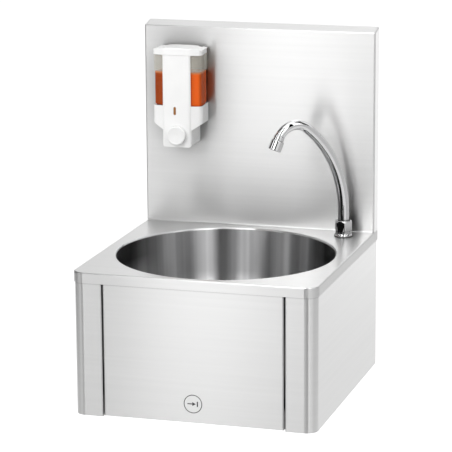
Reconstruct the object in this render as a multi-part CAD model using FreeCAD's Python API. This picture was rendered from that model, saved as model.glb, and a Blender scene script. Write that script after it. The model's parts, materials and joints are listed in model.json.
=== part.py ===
import FreeCAD, Part
import math
import os

# Knee-operated hand basin of folded stainless steel, in millimetres.
# X runs to the right, Y towards the wall and Z up. The wall is the plane Y = 0.
# The origin is the centre of the four wall screws.

Vector = FreeCAD.Vector
X_AXIS = Vector(1, 0, 0)
Y_AXIS = Vector(0, 1, 0)
Z_AXIS = Vector(0, 0, 1)

# Fits
running_gap = 0.05
contact_gap = 0.3
overcut = 1.0

# Bowl, whose size and margins set the housing's width and depth
bowl_radius = 178.0
bowl_depth = 130.0
bowl_side_margin = 22.0
bowl_front_margin = 9.0
bowl_back_margin = 20.0
bowl_floor_radius = 60.0
bowl_rim_radius = 3.0
bowl_draft = 3.0
bowl_floor_fall = 3.0

# Housing
sheet = 1.2
deck_top = 110.0
room_below_bowl = 104.0
lip_height = 17.0
skirt_inset = 1.5
front_strip = 49.0
front_corner_radius = 20.0
edge_bend = 2.5
strip_return = 15.0
bottom_flange = 12.0
splash_height = 338.0
splash_depth = 27.0
splash_top_rise = 6.3
splash_foot_radius = 2.5
splash_back_flange = 12.0
screw_from_side = 50.0
screw_spacing_z = 120.0
screw_hole_radius = 4.5
pipe_opening_left_of_drain = 70.0
pipe_opening_right_of_valve = 45.0
pipe_opening_height = 70.0
pipe_opening_below_outlet = 33.0

# Waste
waste_recess_radius = 31.0
waste_recess_depth = 5.0
waste_ledge = 7.0
strainer_thickness = 1.5
strainer_hole_radius = 2.4
strainer_rim = 5.5
strainer_ring_step = 8.0
strainer_screw_radius = 3.0
strainer_screw_head = 6.0
gasket_thickness = 2.0
tailpiece_radius = 16.0
tube_wall = 1.6

# Trap
waste_to_trap = 21.3
trap_neck = 8.0
trap_radius = 31.0
trap_head_spare = 1.0
trap_cup_depth = 18.0
trap_seal = 1.5
trap_wall = 2.5
trap_nut_radius = 24.0
trap_nut_height = 12.0
outlet_pipe_radius = 16.0
outlet_pipe_end = 3.0
outlet_spigot = 54.0

# Knee panel and its pivots
panel_gap = 2.0
panel_top_gap = 0.5
panel_bottom_gap = 2.0
panel_return = 16.0
pivot_below_panel_top = 9.5
pivot_setback = 8.5
pivot_radius = 3.0
bush_radius = 4.5
bush_flange_radius = 6.5
stop_above_bottom = 39.0
stop_height = 20.0
stop_reach = 13.0
stop_pad = 3.0

# Knee valve and mixing valve
mixer_to_trap = 19.0
valve_above_bottom = 44.0
bracket_sheet = 2.0
crossbar_height = 34.0
crossbar_from_front = 72.0
crossbar_tab = 15.0
spigot_radius = 12.0
spigot_length = 14.0
gland_cap = 3.0
gland_flats = 34.0
valve_body_radius = 15.0
valve_body_length = 48.0
valve_bore_end = 12.0
valve_shoulder_radius = 17.0
valve_shoulder = 8.0
valve_thread_radius = 10.0
valve_thread_length = 14.0
stem_radius = 5.0
stem_room = 16.0
stem_bore_radius = 6.0
knob_head_radius = 12.0
knob_head_length = 8.0
knob_head_dome = 20.0
valve_spring_radius = 8.3
valve_spring_wire = 0.9
valve_spring_turns = 7
outlet_boss_radius = 9.0
outlet_boss_reach = 20.0
nipple_radius = 6.5
nipple_length = 12.0
mixer_radius = 17.0
mixer_half_length = 40.0
mixer_boss_radius = 14.0
inlet_spacing = 50.0
inlet_thread_radius = 10.48
inlet_thread_length = 14.0
inlet_flats = 24.0
inlet_hex_length = 8.0
inlet_boss_radius = 12.0
inlet_bore_radius = 6.5
inlet_wall = 1.5
inlet_plug = 9.0
spindle_radius = 4.0
spindle_length = 26.0
spindle_boss = 2.0
knob_radius = 17.0
knob_height = 15.0
knob_flutes = 12
knob_flute_radius = 2.4

# Feed hose
hose_radius = 6.0
hose_nut_flats = 19.0
hose_nut_length = 14.0
hose_first_side_gap = 29.0
hose_side_gap = 19.0
hose_back_step = 60.0
hose_rear_bulge = 16.0
hose_rear_run = 90.0
hose_low_rise = 4.0
hose_high_rise = 14.0

# Faucet
faucet_from_side = 44.0
faucet_from_splash = 35.0
faucet_direction = 225.0
faucet_gasket_thickness = 1.0
flange_radius = 15.5
flange_height = 10.5
collar_step = 1.5
collar_side_gap = 0.5
neck_height = 24.0
shank_radius = 10.0
shank_length = 56.0
shank_hole_gap = 1.0
water_bore = 4.5
spout_nut_wall = 2.5
spout_nut_cap = 2.0
spout_nut_turn = -73.4
spout_root_radius = 9.5
spout_tip_radius = 7.75
spout_wall = 2.5
spout_rise = 44.3
spout_sweep_radius = 185.0
spout_sweep_angle = 51.7
spout_bend_radius = 35.0
spout_bend_angle = 103.6
spout_tip_length = 9.8
spout_foot_radius = 8.0
spout_foot_length = 12.0
spout_collar = 1.4
o_ring_radius = 1.0
aerator_radius = 10.7
aerator_length = 17.0
aerator_lap = 7.0
aerator_wall = 1.5
locknut_flats = 27.0
locknut_height = 8.0
washer_radius = 17.0
washer_thickness = 2.0

# Soap dispenser
dispenser_from_side = 71.8
dispenser_below_top = 29.8
dispenser_half_width = 43.3
dispenser_side_taper = 3.5
dispenser_side_depth = 46.5
dispenser_front_depth = 50.5
dispenser_front_half = 20.0
lid_rise = 12.6
lid_overhang = 0.5
lid_front_half = 23.0
lid_arch_drop = 4.5
lid_rear_upright = 3.0
lid_front_rounding = 2.5
lid_back = 3.5
lid_axis_rise = 4.0
lid_axis_depth = 9.0
lid_pin_radius = 1.25
knuckle_radius = 2.8
knuckle_width = 6.0
knuckle_step = 9.0
ear_inset = 5.0
band_half_width = 25.3
band_proud = 1.5
band_height = 85.9
housing_height = 28.8
shoulder_slope = 11.7
button_box_height = 29.0
plastic_wall = 2.0
tank_foot = 15.0
tank_wall = 1.8
soap_depth = 57.0
backplate_side_gap = 2.5
backplate_tongue = 21.0
backplate_shoulder = 7.4
backplate_thickness = 3.0
backplate_end_gap = 8.0
dispenser_screw_radius = 1.8
dispenser_screw_head = 3.4
dispenser_screw_head_height = 1.7
dispenser_screw_length = 16.0
dispenser_screw_margins = (11.0, 13.0)
button_radius = 16.2
button_lip = 1.4
button_floor_room = 0.8
button_stand_out = 7.0
slot_width = 4.5
slot_length = 14.0
slot_below_housing_top = 8.2
slot_left_of_middle = 3.2
pump_radius = 9.0
pump_bore = 6.0
pump_end_wall = 5.0
pump_spring_room = 11.0
pump_spring_wire = 0.4
pump_spring_turns = 5
pump_inlet_depth = 18.0
pump_inlet_radius = 5.0
piston_stem = 2.5
piston_depth = 9.0
piston_length = 5.0
nozzle_depth = 25.0
nozzle_radius = 3.5
nozzle_below = 4.0

# Places of the housing
half_width = bowl_radius + bowl_side_margin
body_width = 2 * half_width
bowl_from_wall = splash_depth + bowl_back_margin + bowl_radius
body_depth = bowl_from_wall + bowl_radius + bowl_front_margin
front_y = -body_depth
deck_under = deck_top - sheet
skirt_x = half_width - skirt_inset
skirt_front = front_y + skirt_inset
skirt_bottom = deck_top - bowl_depth - room_below_bowl
skirt_inner = skirt_x - sheet
strip_edge = skirt_x - front_strip
splash_face = -splash_depth
screw_spacing_x = body_width - 2 * screw_from_side
bowl_centre = Vector(0, -bowl_from_wall, deck_top)

# Places of the knee panel and the valves
panel_half_width = strip_edge - panel_gap
panel_top = deck_top - lip_height - panel_top_gap
panel_bottom = skirt_bottom + panel_bottom_gap
panel_inner = skirt_front + sheet
pivot_y = skirt_front + pivot_setback
pivot_z = panel_top - pivot_below_panel_top
stop_z = skirt_bottom + stop_above_bottom
valve_x = trap_radius + mixer_to_trap + mixer_half_length
valve_z = skirt_bottom + valve_above_bottom
web_front = front_y + crossbar_from_front
web_back = web_front + bracket_sheet
spigot_end = web_back - spigot_length
gland_front = spigot_end - gland_cap
plunger_tip = panel_inner + contact_gap
valve_rear = web_back + valve_body_length
bore_end = valve_rear - valve_bore_end
valve_outlet_y = web_back + valve_body_length / 2 + 2
mixer_y = valve_rear + valve_thread_length + mixer_radius
mixer_front = valve_rear + 2
inlet_boss_end = mixer_y + mixer_radius + 5
spindle_boss_z = valve_z - mixer_radius - spindle_boss

# Places of the faucet
faucet = Vector(half_width - faucet_from_side, splash_face - faucet_from_splash, deck_top)
shank_bottom = deck_top - shank_length
collar_radius = spout_root_radius + collar_step
neck_radius = collar_radius + collar_side_gap
collar_top = neck_height + contact_gap + spout_collar
spout_nut_flats = 2 * (neck_radius + spout_nut_wall)
spout_nut_top = collar_top + contact_gap + spout_nut_cap

# Places of the waste and the trap
floor_z = deck_top - bowl_depth - bowl_floor_fall
recess_z = floor_z - waste_recess_depth
waste_hole_radius = waste_recess_radius - waste_ledge
waste_top = recess_z - sheet - gasket_thickness
trap_neck_top = waste_top - waste_to_trap
trap_crown = trap_neck_top - trap_neck
trap_outlet_z = trap_crown - trap_wall - outlet_pipe_radius
trap_joint = trap_crown - 2 * (outlet_pipe_radius + trap_wall) - trap_head_spare
trap_bottom = trap_joint - trap_seal - trap_cup_depth

# Places of the soap dispenser
dispenser_x = dispenser_from_side - half_width
dispenser_back = splash_face - contact_gap
band_depth = dispenser_front_depth + band_proud
band_front = dispenser_back - band_depth
lid_front_depth = band_depth + lid_overhang
lid_crown = deck_top + splash_height - dispenser_below_top
band_top = lid_crown - lid_rise
housing_top = band_top - band_height
shoulder_high = housing_top - housing_height
shoulder_low = shoulder_high - shoulder_slope
dispenser_bottom = shoulder_low - button_box_height
tank_floor = housing_top - tank_foot
soap_level = housing_top + soap_depth
lid_axis_y = splash_face - lid_axis_depth
lid_axis_z = band_top + lid_axis_rise
backplate_front = splash_face - backplate_thickness
backplate_half_width = dispenser_half_width - dispenser_side_taper - plastic_wall - backplate_side_gap
backplate_bottom = dispenser_bottom + backplate_end_gap
backplate_top = band_top - overcut
ear_x = backplate_half_width - ear_inset
knuckle_x = ear_x - knuckle_step
screw_heights = (tank_floor + dispenser_screw_margins[0], band_top - dispenser_screw_margins[1])
button_flange = button_radius + button_lip
button_z = dispenser_bottom + plastic_wall + button_floor_room + button_flange
button_rear = band_front + 2 * plastic_wall + contact_gap
pump_front = button_rear + pump_spring_room
pump_inlet = Vector(dispenser_x, splash_face - pump_inlet_depth, button_z)
nozzle_top = Vector(dispenser_x, splash_face - nozzle_depth, button_z - pump_bore)

# Outlines lie in one of three planes, and grow along that plane's normal.
PLANES = {
    "plan": (FreeCAD.Rotation(), Z_AXIS),
    "side": (FreeCAD.Rotation(Vector(1, 1, 1), 120), X_AXIS),
    "front": (FreeCAD.Rotation(X_AXIS, 90), Y_AXIS),
}


def rounded_edges(corners):
    """Edges of a closed outline; a corner (u, v, radius) is rounded by its radius."""
    points = [Vector(corner[0], corner[1], 0) for corner in corners]
    radii = [corner[2] if len(corner) > 2 else 0.0 for corner in corners]
    entries = []
    for index, point in enumerate(points):
        before = (points[index - 1] - point).normalize()
        after = (points[(index + 1) % len(points)] - point).normalize()
        half = before.getAngle(after) / 2
        reach = radii[index] / math.tan(half)
        middle = (before + after)
        if radii[index] > 0:
            centre = point + middle.normalize() * (radii[index] / math.sin(half))
            crest = centre + (point - centre).normalize() * radii[index]
            entries.append((point + before * reach, crest, point + after * reach))
        else:
            entries.append((point, None, point))
    edges = []
    for index, (start, crest, end) in enumerate(entries):
        if crest is not None:
            edges.append(Part.Arc(start, crest, end).toShape())
        following = entries[(index + 1) % len(entries)][0]
        if end.distanceToPoint(following) > 1e-6:
            edges.append(Part.LineSegment(end, following).toShape())
    return edges


def outline_face(corners, plane):
    """Flat face of an outline in one of the three planes."""
    face = Part.Face(Part.Wire(rounded_edges(corners)))
    face.Placement = FreeCAD.Placement(Vector(), PLANES[plane][0])
    return face


def prism(corners, plane, start, end):
    """Outline drawn out along its plane's normal, from start to end."""
    normal = PLANES[plane][1]
    face = outline_face(corners, plane)
    face.translate(normal * start)
    return face.extrude(normal * (end - start))


def block(x_span, y_span, z_span):
    """Rectangular block between three pairs of coordinates."""
    corner = Vector(min(x_span), min(y_span), min(z_span))
    lengths = [abs(span[1] - span[0]) for span in (x_span, y_span, z_span)]
    return Part.makeBox(lengths[0], lengths[1], lengths[2], corner)


def rod(radius, start, end):
    """Cylinder between two points."""
    return Part.makeCylinder(radius, start.distanceToPoint(end), start, end - start)


def turned(corners, base=Vector(), direction=Z_AXIS):
    """Profile of (radius, height) corners revolved, then stood on base along direction."""
    solid = outline_face(corners, "front").revolve(Vector(), Z_AXIS, 360)
    solid.Placement = FreeCAD.Placement(base, FreeCAD.Rotation(Z_AXIS, direction))
    return solid


def ring(outer, inner, base, direction, length):
    """Plain ring or tube."""
    return turned([(inner, 0), (outer, 0), (outer, length), (inner, length)], base, direction)


def hexagon(flats, base, direction, length, turn=0.0):
    """Hexagonal prism with a corner at the turn angle and chamfered ends."""
    corner_radius = flats / math.sqrt(3)
    corners = []
    for step in range(6):
        angle = math.radians(turn + 60 * step)
        corners.append((corner_radius * math.cos(angle), corner_radius * math.sin(angle)))
    solid = prism(corners, "plan", 0, length)
    bevel = (corner_radius - flats / 2) * 0.6
    crown = turned([
        (0, 0), (flats / 2, 0), (corner_radius, bevel),
        (corner_radius, length - bevel), (flats / 2, length), (0, length),
    ])
    solid = solid.common(crown)
    solid.Placement = FreeCAD.Placement(base, FreeCAD.Rotation(Z_AXIS, direction))
    return solid


def moved_path(path, distance):
    """Open path moved to its left, each bend's radius changed to match."""
    points = [Vector(corner[0], corner[1], 0) for corner in path]
    radii = [corner[2] if len(corner) > 2 else 0.0 for corner in path]
    runs = [(points[i + 1] - points[i]).normalize() for i in range(len(points) - 1)]
    lefts = [Vector(-run.y, run.x, 0) for run in runs]
    moved = []
    for index, point in enumerate(points):
        first = lefts[max(index - 1, 0)]
        second = lefts[min(index, len(lefts) - 1)]
        shift = (first + second) * (distance / (1 + first.dot(second)))
        radius = radii[index]
        if radius > 0:
            turn = runs[index - 1].cross(runs[index]).z
            radius = radius - math.copysign(distance, turn)
        moved.append((point.x + shift.x, point.y + shift.y, max(radius, 0.0)))
    return moved


def folded(path, thickness, plane, start, end):
    """Sheet folded along an open path, its thickness to the left of the path."""
    inner = moved_path(path, thickness)
    return prism(list(path) + inner[::-1], plane, start, end)


def mirrored(shape):
    """The same piece on the other side of the middle plane."""
    return shape.mirror(Vector(), X_AXIS)


def group(shapes):
    """Separate solids of one node."""
    return Part.makeCompound(shapes)


def coil(radius, wire, start, direction, length, turns):
    """Round-wire spring as one unbroken tube on quarter-turn arcs, and its least gap to itself."""
    def place(quarter):
        angle = quarter * math.pi / 2
        height = length * quarter / (4.0 * turns)
        return Vector(radius * math.cos(angle), radius * math.sin(angle), height)
    edges = []
    for quarter in range(4 * turns):
        arc = Part.Arc(place(quarter), place(quarter + 0.5), place(quarter + 1))
        edges.append(arc.toShape())
    path = Part.Wire(edges)
    tangent = edges[0].tangentAt(edges[0].FirstParameter)
    section = Part.Wire(Part.makeCircle(wire, place(0), tangent))
    solid = path.makePipeShell([section], True, False)
    solid.Placement = FreeCAD.Placement(start, FreeCAD.Rotation(Z_AXIS, direction))
    steps = [place(0.25 * step) for step in range(16 * turns + 1)]
    gaps = [
        steps[i].distanceToPoint(steps[j]) - 2 * wire
        for i in range(len(steps)) for j in range(i + 12, len(steps))
    ]
    return solid, min(gaps)


def route_wire(points):
    """Straight runs joined by tangent arcs as large as the runs allow, and the arcs' radii."""
    edges = []
    radii = []
    start = points[0]
    for index in range(1, len(points) - 1):
        point = points[index]
        back = points[index - 1] - point
        ahead = points[index + 1] - point
        half_turn = (math.pi - back.getAngle(ahead)) / 2
        radius = 0.45 * min(back.Length, ahead.Length) / math.tan(half_turn)
        reach = radius * math.tan(half_turn)
        first = point + back.normalize() * reach
        last = point + ahead.normalize() * reach
        middle = (back + ahead).normalize()
        crest = point + middle * (radius / math.cos(half_turn) - radius)
        edges.append(Part.LineSegment(start, first).toShape())
        edges.append(Part.Arc(first, crest, last).toShape())
        radii.append(radius)
        start = last
    edges.append(Part.LineSegment(start, points[-1]).toShape())
    return Part.Wire(edges), radii


# Housing

def deck_outline(inset, back):
    """Plan of the deck with its rounded front corners."""
    side = half_width - inset
    front = front_y + inset
    radius = front_corner_radius - inset
    return [(-side, back), (-side, front, radius), (side, front, radius), (side, back)]


def make_deck():
    """Top sheet with its folded lip, the bowl's hole and the faucet's hole."""
    solid = prism(deck_outline(0, 0), "plan", deck_top - lip_height, deck_top)
    top_edges = []
    for edge in solid.Edges:
        heights = [vertex.Z for vertex in edge.Vertexes]
        depths = [vertex.Y for vertex in edge.Vertexes]
        if min(heights) > deck_top - 0.01 and min(depths) < -0.01:
            top_edges.append(edge)
    solid = solid.makeFillet(edge_bend, top_edges)
    hollow = prism(deck_outline(sheet, overcut), "plan", deck_top - lip_height - overcut, deck_under)
    solid = solid.cut(hollow)
    up = Vector(0, 0, overcut)
    bowl_hole = rod(bowl_radius + bowl_rim_radius, bowl_centre - up * 5, bowl_centre + up)
    shank_hole = rod(shank_radius + shank_hole_gap, faucet - up * 5, faucet + up)
    return solid.cut(bowl_hole).cut(shank_hole)


def make_bowl():
    """Deep-drawn bowl: rolled rim, drafted wall, round floor and the recess of the waste."""
    wall_foot = bowl_radius - bowl_depth * math.tan(math.radians(bowl_draft))
    floor = -bowl_depth - bowl_floor_fall
    recess = floor - waste_recess_depth
    path = [
        (bowl_radius + bowl_rim_radius, 0),
        (bowl_radius, 0, bowl_rim_radius),
        (wall_foot, -bowl_depth, bowl_floor_radius),
        (waste_recess_radius, floor, 2 * sheet),
        (waste_recess_radius, recess, 2 * sheet),
        (waste_hole_radius, recess),
    ]
    outer = moved_path(path, sheet)
    return turned(path + outer[::-1], bowl_centre)


def splash_profile(inset, back):
    """Side view of the backsplash pan: upright front and a top strip that climbs to the wall."""
    slope = splash_top_rise / splash_depth
    drop = inset * (math.sqrt(1 + slope ** 2) - slope)
    top = deck_top + splash_height - drop
    front = splash_face + inset
    bottom = deck_top if inset == 0 else deck_top - overcut
    return [
        (front, bottom), (back, bottom),
        (back, top + (back - front) * slope), (front, top, max(edge_bend - inset, 0.5)),
    ]


def make_backsplash():
    """Folded pan with side returns, a back flange, a ground weld cove and the screw holes."""
    solid = prism(splash_profile(0, 0), "side", -half_width, half_width)
    upright = []
    for edge in solid.Edges:
        xs = [abs(vertex.X) for vertex in edge.Vertexes]
        ys = [vertex.Y for vertex in edge.Vertexes]
        if min(xs) > half_width - 0.01 and max(ys) < splash_face + 0.01:
            upright.append(edge)
    solid = solid.makeFillet(edge_bend, upright)
    side = half_width - sheet
    solid = solid.cut(prism(splash_profile(sheet, -sheet), "side", -side, side))
    window = half_width - splash_back_flange
    window_top = deck_top + splash_height - splash_back_flange
    window_z = (deck_top - overcut, window_top)
    solid = solid.cut(block((-window, window), (-2 * sheet, overcut), window_z))
    tip = 0.25
    cove_x = half_width - edge_bend
    cove_front = splash_face - splash_foot_radius
    cove_z = deck_top + splash_foot_radius
    cove = block((-cove_x, cove_x), (cove_front, splash_face + sheet / 2), (deck_top, cove_z))
    hollow_axis = Vector(-half_width, cove_front, cove_z + tip)
    cove = cove.cut(rod(splash_foot_radius, hollow_axis, hollow_axis + X_AXIS * body_width))
    solid = solid.fuse(cove).removeSplitter()
    for height in screw_heights:
        start = Vector(dispenser_x, splash_face - overcut, height)
        solid = solid.cut(rod(dispenser_screw_radius + running_gap, start, start + Y_AXIS * 4))
    return solid


def make_right_skirt():
    """Side sheet that wraps the front corner and turns in beside the knee panel."""
    path = [
        (skirt_x, -sheet),
        (skirt_x, skirt_front, front_corner_radius - skirt_inset),
        (strip_edge, skirt_front, edge_bend),
        (strip_edge, skirt_front + strip_return),
    ]
    solid = folded(path[::-1], sheet, "plan", skirt_bottom, deck_under)
    flange_y = (skirt_front + 2 * front_corner_radius, -splash_depth)
    flange_x = (skirt_x - bottom_flange, skirt_x - sheet / 2)
    solid = solid.fuse(block(flange_x, flange_y, (skirt_bottom, skirt_bottom + sheet)))
    start = Vector(strip_edge - overcut, pivot_y, pivot_z)
    return solid.cut(rod(pivot_radius + running_gap, start, start + X_AXIS * 5)).removeSplitter()


def make_rear_panel():
    """Back plate between the skirts, with the wall screw holes and the pipe opening."""
    path = [
        (-skirt_inner, -splash_depth),
        (-skirt_inner, 0, edge_bend),
        (skirt_inner, 0, edge_bend),
        (skirt_inner, -splash_depth),
    ]
    solid = folded(path[::-1], sheet, "plan", skirt_bottom + sheet, deck_under)
    for side in (-1, 1):
        for level in (-1, 1):
            centre = Vector(side * screw_spacing_x / 2, -5, level * screw_spacing_z / 2)
            solid = solid.cut(rod(screw_hole_radius, centre, centre + Y_AXIS * 10))
    left = -pipe_opening_left_of_drain
    right = valve_x + pipe_opening_right_of_valve
    low = trap_outlet_z - pipe_opening_below_outlet
    high = low + pipe_opening_height
    rounding = 4 * edge_bend
    opening = [
        (left, low, rounding), (right, low, rounding),
        (right, high, rounding), (left, high, rounding),
    ]
    return solid.cut(prism(opening, "front", -5, 5))


def make_valve_crossbar():
    """Folded strip between the skirts that carries the knee valve."""
    path = [
        (-skirt_inner, web_front + crossbar_tab),
        (-skirt_inner, web_front, 2 * edge_bend),
        (skirt_inner, web_front, 2 * edge_bend),
        (skirt_inner, web_front + crossbar_tab),
    ]
    low = valve_z - crossbar_height / 2
    solid = folded(path, bracket_sheet, "plan", low, low + crossbar_height)
    start = Vector(valve_x, web_front - overcut, valve_z)
    return solid.cut(rod(spigot_radius + running_gap, start, start + Y_AXIS * 5))


# Knee panel

def make_knee_panel():
    """Push panel with folded returns, pivot holes and the two stop tabs."""
    rear = skirt_front + panel_return
    path = [
        (-panel_half_width, rear),
        (-panel_half_width, skirt_front, edge_bend),
        (panel_half_width, skirt_front, edge_bend),
        (panel_half_width, rear),
    ]
    solid = folded(path, sheet, "plan", panel_bottom, panel_top)
    inner_x = panel_half_width - sheet / 2
    lower_return = (panel_bottom, panel_bottom + sheet)
    solid = solid.fuse(block((-inner_x, inner_x), (skirt_front + sheet / 2, rear), lower_return))
    tab_z = (stop_z - stop_height / 2, stop_z + stop_height / 2)
    tab_front = skirt_front + strip_return + contact_gap + stop_pad
    tab_y = (tab_front, tab_front + sheet)
    for side in (-1, 1):
        arm_x = (side * (panel_half_width - sheet), side * panel_half_width)
        solid = solid.fuse(block(arm_x, (rear - sheet, tab_y[1]), tab_z))
        tab_x = (side * (panel_half_width - sheet), side * (panel_half_width + stop_reach))
        solid = solid.fuse(block(tab_x, tab_y, tab_z))
        start = Vector(side * (panel_half_width - 3), pivot_y, pivot_z)
        solid = solid.cut(rod(bush_radius + running_gap, start, start + X_AXIS * side * 6))
    return solid.removeSplitter()


def make_stop_pads():
    """Rubber pads on the stop tabs."""
    pad_front = skirt_front + strip_return + contact_gap
    inset = stop_height / 10
    low = stop_z - stop_height / 2 + inset
    pads = []
    for side in (-1, 1):
        near = side * (panel_half_width + panel_gap / 2)
        far = side * (panel_half_width + stop_reach - inset / 2)
        pad_z = (low, low + stop_height - 2 * inset)
        pads.append(block((near, far), (pad_front, pad_front + stop_pad), pad_z))
    return group(pads)


def make_pivot_pins():
    """Headed pins held in the skirts, one at each end of the panel."""
    head = 3.0
    inside = panel_half_width - 2 * bush_radius / 3 - sheet
    shank = strip_edge + sheet - inside
    head_radius = pivot_radius + 2
    profile = [
        (0, 0), (pivot_radius, 0, 0.8), (pivot_radius, shank),
        (head_radius, shank), (head_radius, shank + head, 1), (0, shank + head),
    ]
    right = turned(profile, Vector(inside, pivot_y, pivot_z), X_AXIS)
    return group([right, mirrored(right)])


def make_pivot_bushes():
    """Flanged nylon bushes in the panel's returns."""
    bore = pivot_radius + running_gap
    inside = panel_half_width - sheet - 1
    flange_start = panel_half_width - inside
    flange_end = flange_start + panel_gap - contact_gap
    profile = [
        (bore, 0), (bush_radius, 0), (bush_radius, flange_start),
        (bush_flange_radius, flange_start), (bush_flange_radius, flange_end, 0.5), (bore, flange_end),
    ]
    right = turned(profile, Vector(inside, pivot_y, pivot_z), X_AXIS)
    return group([right, mirrored(right)])


# Knee valve

def make_knee_valve_body():
    """Valve barrel clamped in the crossbar, with its outlet nipple on the right."""
    shoulder = web_back + valve_shoulder
    length = valve_rear + valve_thread_length - spigot_end
    bore = bore_end - spigot_end
    stations = [web_back - spigot_end, shoulder - spigot_end, valve_rear - spigot_end]
    profile = [
        (stem_bore_radius, 0), (spigot_radius, 0, 0.8), (spigot_radius, stations[0]),
        (valve_shoulder_radius, stations[0]), (valve_shoulder_radius, stations[1], 1.5),
        (valve_body_radius, stations[1]), (valve_body_radius, stations[2], 2),
        (valve_thread_radius, stations[2]), (valve_thread_radius, length, 1), (0, length),
        (0, bore), (stem_bore_radius, bore),
    ]
    solid = turned(profile, Vector(valve_x, spigot_end, valve_z), Y_AXIS)
    seat = valve_body_radius / 2
    outlet = Vector(valve_x + seat, valve_outlet_y, valve_z)
    boss_end = Vector(valve_x + outlet_boss_reach, valve_outlet_y, valve_z)
    boss = rod(outlet_boss_radius, outlet, boss_end)
    nipple = rod(nipple_radius, outlet, boss_end + X_AXIS * nipple_length)
    return solid.fuse([boss, nipple]).removeSplitter()


def make_valve_gland_nut():
    """Cap nut that clamps the valve to the crossbar and guides the plunger."""
    length = web_front - gland_front
    base = Vector(valve_x, gland_front, valve_z)
    solid = hexagon(gland_flats, base, Y_AXIS, length)
    inside = Vector(valve_x, spigot_end, valve_z)
    solid = solid.cut(rod(spigot_radius + running_gap, inside, inside + Y_AXIS * length))
    return solid.cut(rod(stem_radius + running_gap, base - Y_AXIS, inside + Y_AXIS))


def make_valve_plunger():
    """Domed push head on a long stem."""
    tip = Vector(valve_x, plunger_tip, valve_z)
    neck = tip + Y_AXIS * knob_head_length
    head = rod(knob_head_radius, tip, neck)
    head = head.common(Part.makeSphere(knob_head_dome, tip + Y_AXIS * knob_head_dome))
    stem_end = Vector(valve_x, bore_end - stem_room, valve_z)
    return head.fuse(rod(stem_radius, neck, stem_end)).removeSplitter()


def make_valve_spring():
    """Return spring between the push head and the gland nut."""
    start = plunger_tip + knob_head_length + contact_gap + valve_spring_wire
    length = gland_front - contact_gap - valve_spring_wire - start
    base = Vector(valve_x, start, valve_z)
    return coil(valve_spring_radius, valve_spring_wire, base, Y_AXIS, length, valve_spring_turns)


# Mixing valve

def inlet_x(side):
    """Place of the hot inlet on the left, or of the cold inlet on the right."""
    return valve_x + side * inlet_spacing / 2


def make_mixing_valve_body():
    """Cross-shaped mixing body behind the knee valve."""
    centre = Vector(valve_x, mixer_y, valve_z)
    barrel_profile = [
        (0, 0), (mixer_radius - 3, 0, 2), (mixer_radius - 3, 4), (mixer_radius, 4, 1),
        (mixer_radius, 2 * mixer_half_length - 4, 1), (mixer_radius - 3, 2 * mixer_half_length - 4),
        (mixer_radius - 3, 2 * mixer_half_length, 2), (0, 2 * mixer_half_length),
    ]
    solid = turned(barrel_profile, centre - X_AXIS * mixer_half_length, X_AXIS)
    front = Vector(valve_x, mixer_front, valve_z)
    pieces = [rod(mixer_boss_radius, front, centre)]
    for side in (-1, 1):
        boss = Vector(inlet_x(side), mixer_y, valve_z)
        pieces.append(rod(inlet_boss_radius, boss, Vector(boss.x, inlet_boss_end, boss.z)))
    boss_foot = Vector(valve_x, mixer_y, spindle_boss_z)
    pieces.append(rod(2 * spindle_radius + 1, boss_foot, centre))
    solid = solid.fuse(pieces)
    thread_end = Vector(valve_x, valve_rear + valve_thread_length + contact_gap, valve_z)
    solid = solid.cut(rod(valve_thread_radius + running_gap, front - Y_AXIS, thread_end))
    for side in (-1, 1):
        mouth = Vector(inlet_x(side), inlet_boss_end, valve_z)
        seat = mouth - Y_AXIS * (inlet_plug + overcut)
        solid = solid.cut(rod(inlet_bore_radius + inlet_wall + running_gap, seat, mouth + Y_AXIS))
    bottom = boss_foot - Z_AXIS
    top = boss_foot + Z_AXIS * (spindle_length / 2)
    return solid.cut(rod(spindle_radius + running_gap, bottom, top)).removeSplitter()


def make_inlet(side):
    """Threaded inlet nipple with its check-valve hexagon."""
    base = Vector(inlet_x(side), inlet_boss_end, valve_z)
    hexagon_end = base + Y_AXIS * inlet_hex_length
    solid = hexagon(inlet_flats, base, Y_AXIS, inlet_hex_length)
    solid = solid.fuse(rod(inlet_bore_radius + inlet_wall, base - Y_AXIS * inlet_plug, base))
    thread = [
        (0, 0), (inlet_thread_radius, 0),
        (inlet_thread_radius, inlet_thread_length), (0, inlet_thread_length),
    ]
    solid = solid.fuse(turned(thread, hexagon_end, Y_AXIS))
    thread_end = hexagon_end + Y_AXIS * (inlet_thread_length + overcut)
    mouth = base - Y_AXIS * (inlet_plug + overcut)
    return solid.cut(rod(inlet_bore_radius, mouth, thread_end)).removeSplitter()


def make_mixing_spindle():
    """Spindle that the temperature knob turns."""
    top = Vector(valve_x, mixer_y, spindle_boss_z + spindle_length / 2 - overcut)
    return rod(spindle_radius, top, top - Z_AXIS * spindle_length)


def make_mixing_knob():
    """Fluted temperature knob below the mixing valve."""
    top = Vector(valve_x, mixer_y, spindle_boss_z - contact_gap)
    profile = [
        (0, 0), (knob_radius - 1.5, 0, 0.8), (knob_radius, knob_height, 2.5), (0, knob_height),
    ]
    solid = turned(profile, top, -Z_AXIS)
    for step in range(knob_flutes):
        angle = 2 * math.pi * step / knob_flutes
        flute = top + Vector(math.cos(angle), math.sin(angle), 0) * (knob_radius + knob_flute_radius / 2)
        foot = flute - Z_AXIS * (knob_height + overcut)
        solid = solid.cut(rod(knob_flute_radius, flute + Z_AXIS, foot))
    seat = spindle_length / 2 + overcut - contact_gap
    return solid.cut(rod(spindle_radius + running_gap, top + Z_AXIS, top - Z_AXIS * seat))


# Feed hose

def hose_ends():
    """The two nipples that the hose joins, each with the direction out of it."""
    valve_end = Vector(valve_x + outlet_boss_reach, valve_outlet_y, valve_z)
    shank_end = Vector(faucet.x, faucet.y, shank_bottom)
    return ((valve_end, X_AXIS), (shank_end, -Z_AXIS))


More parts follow.
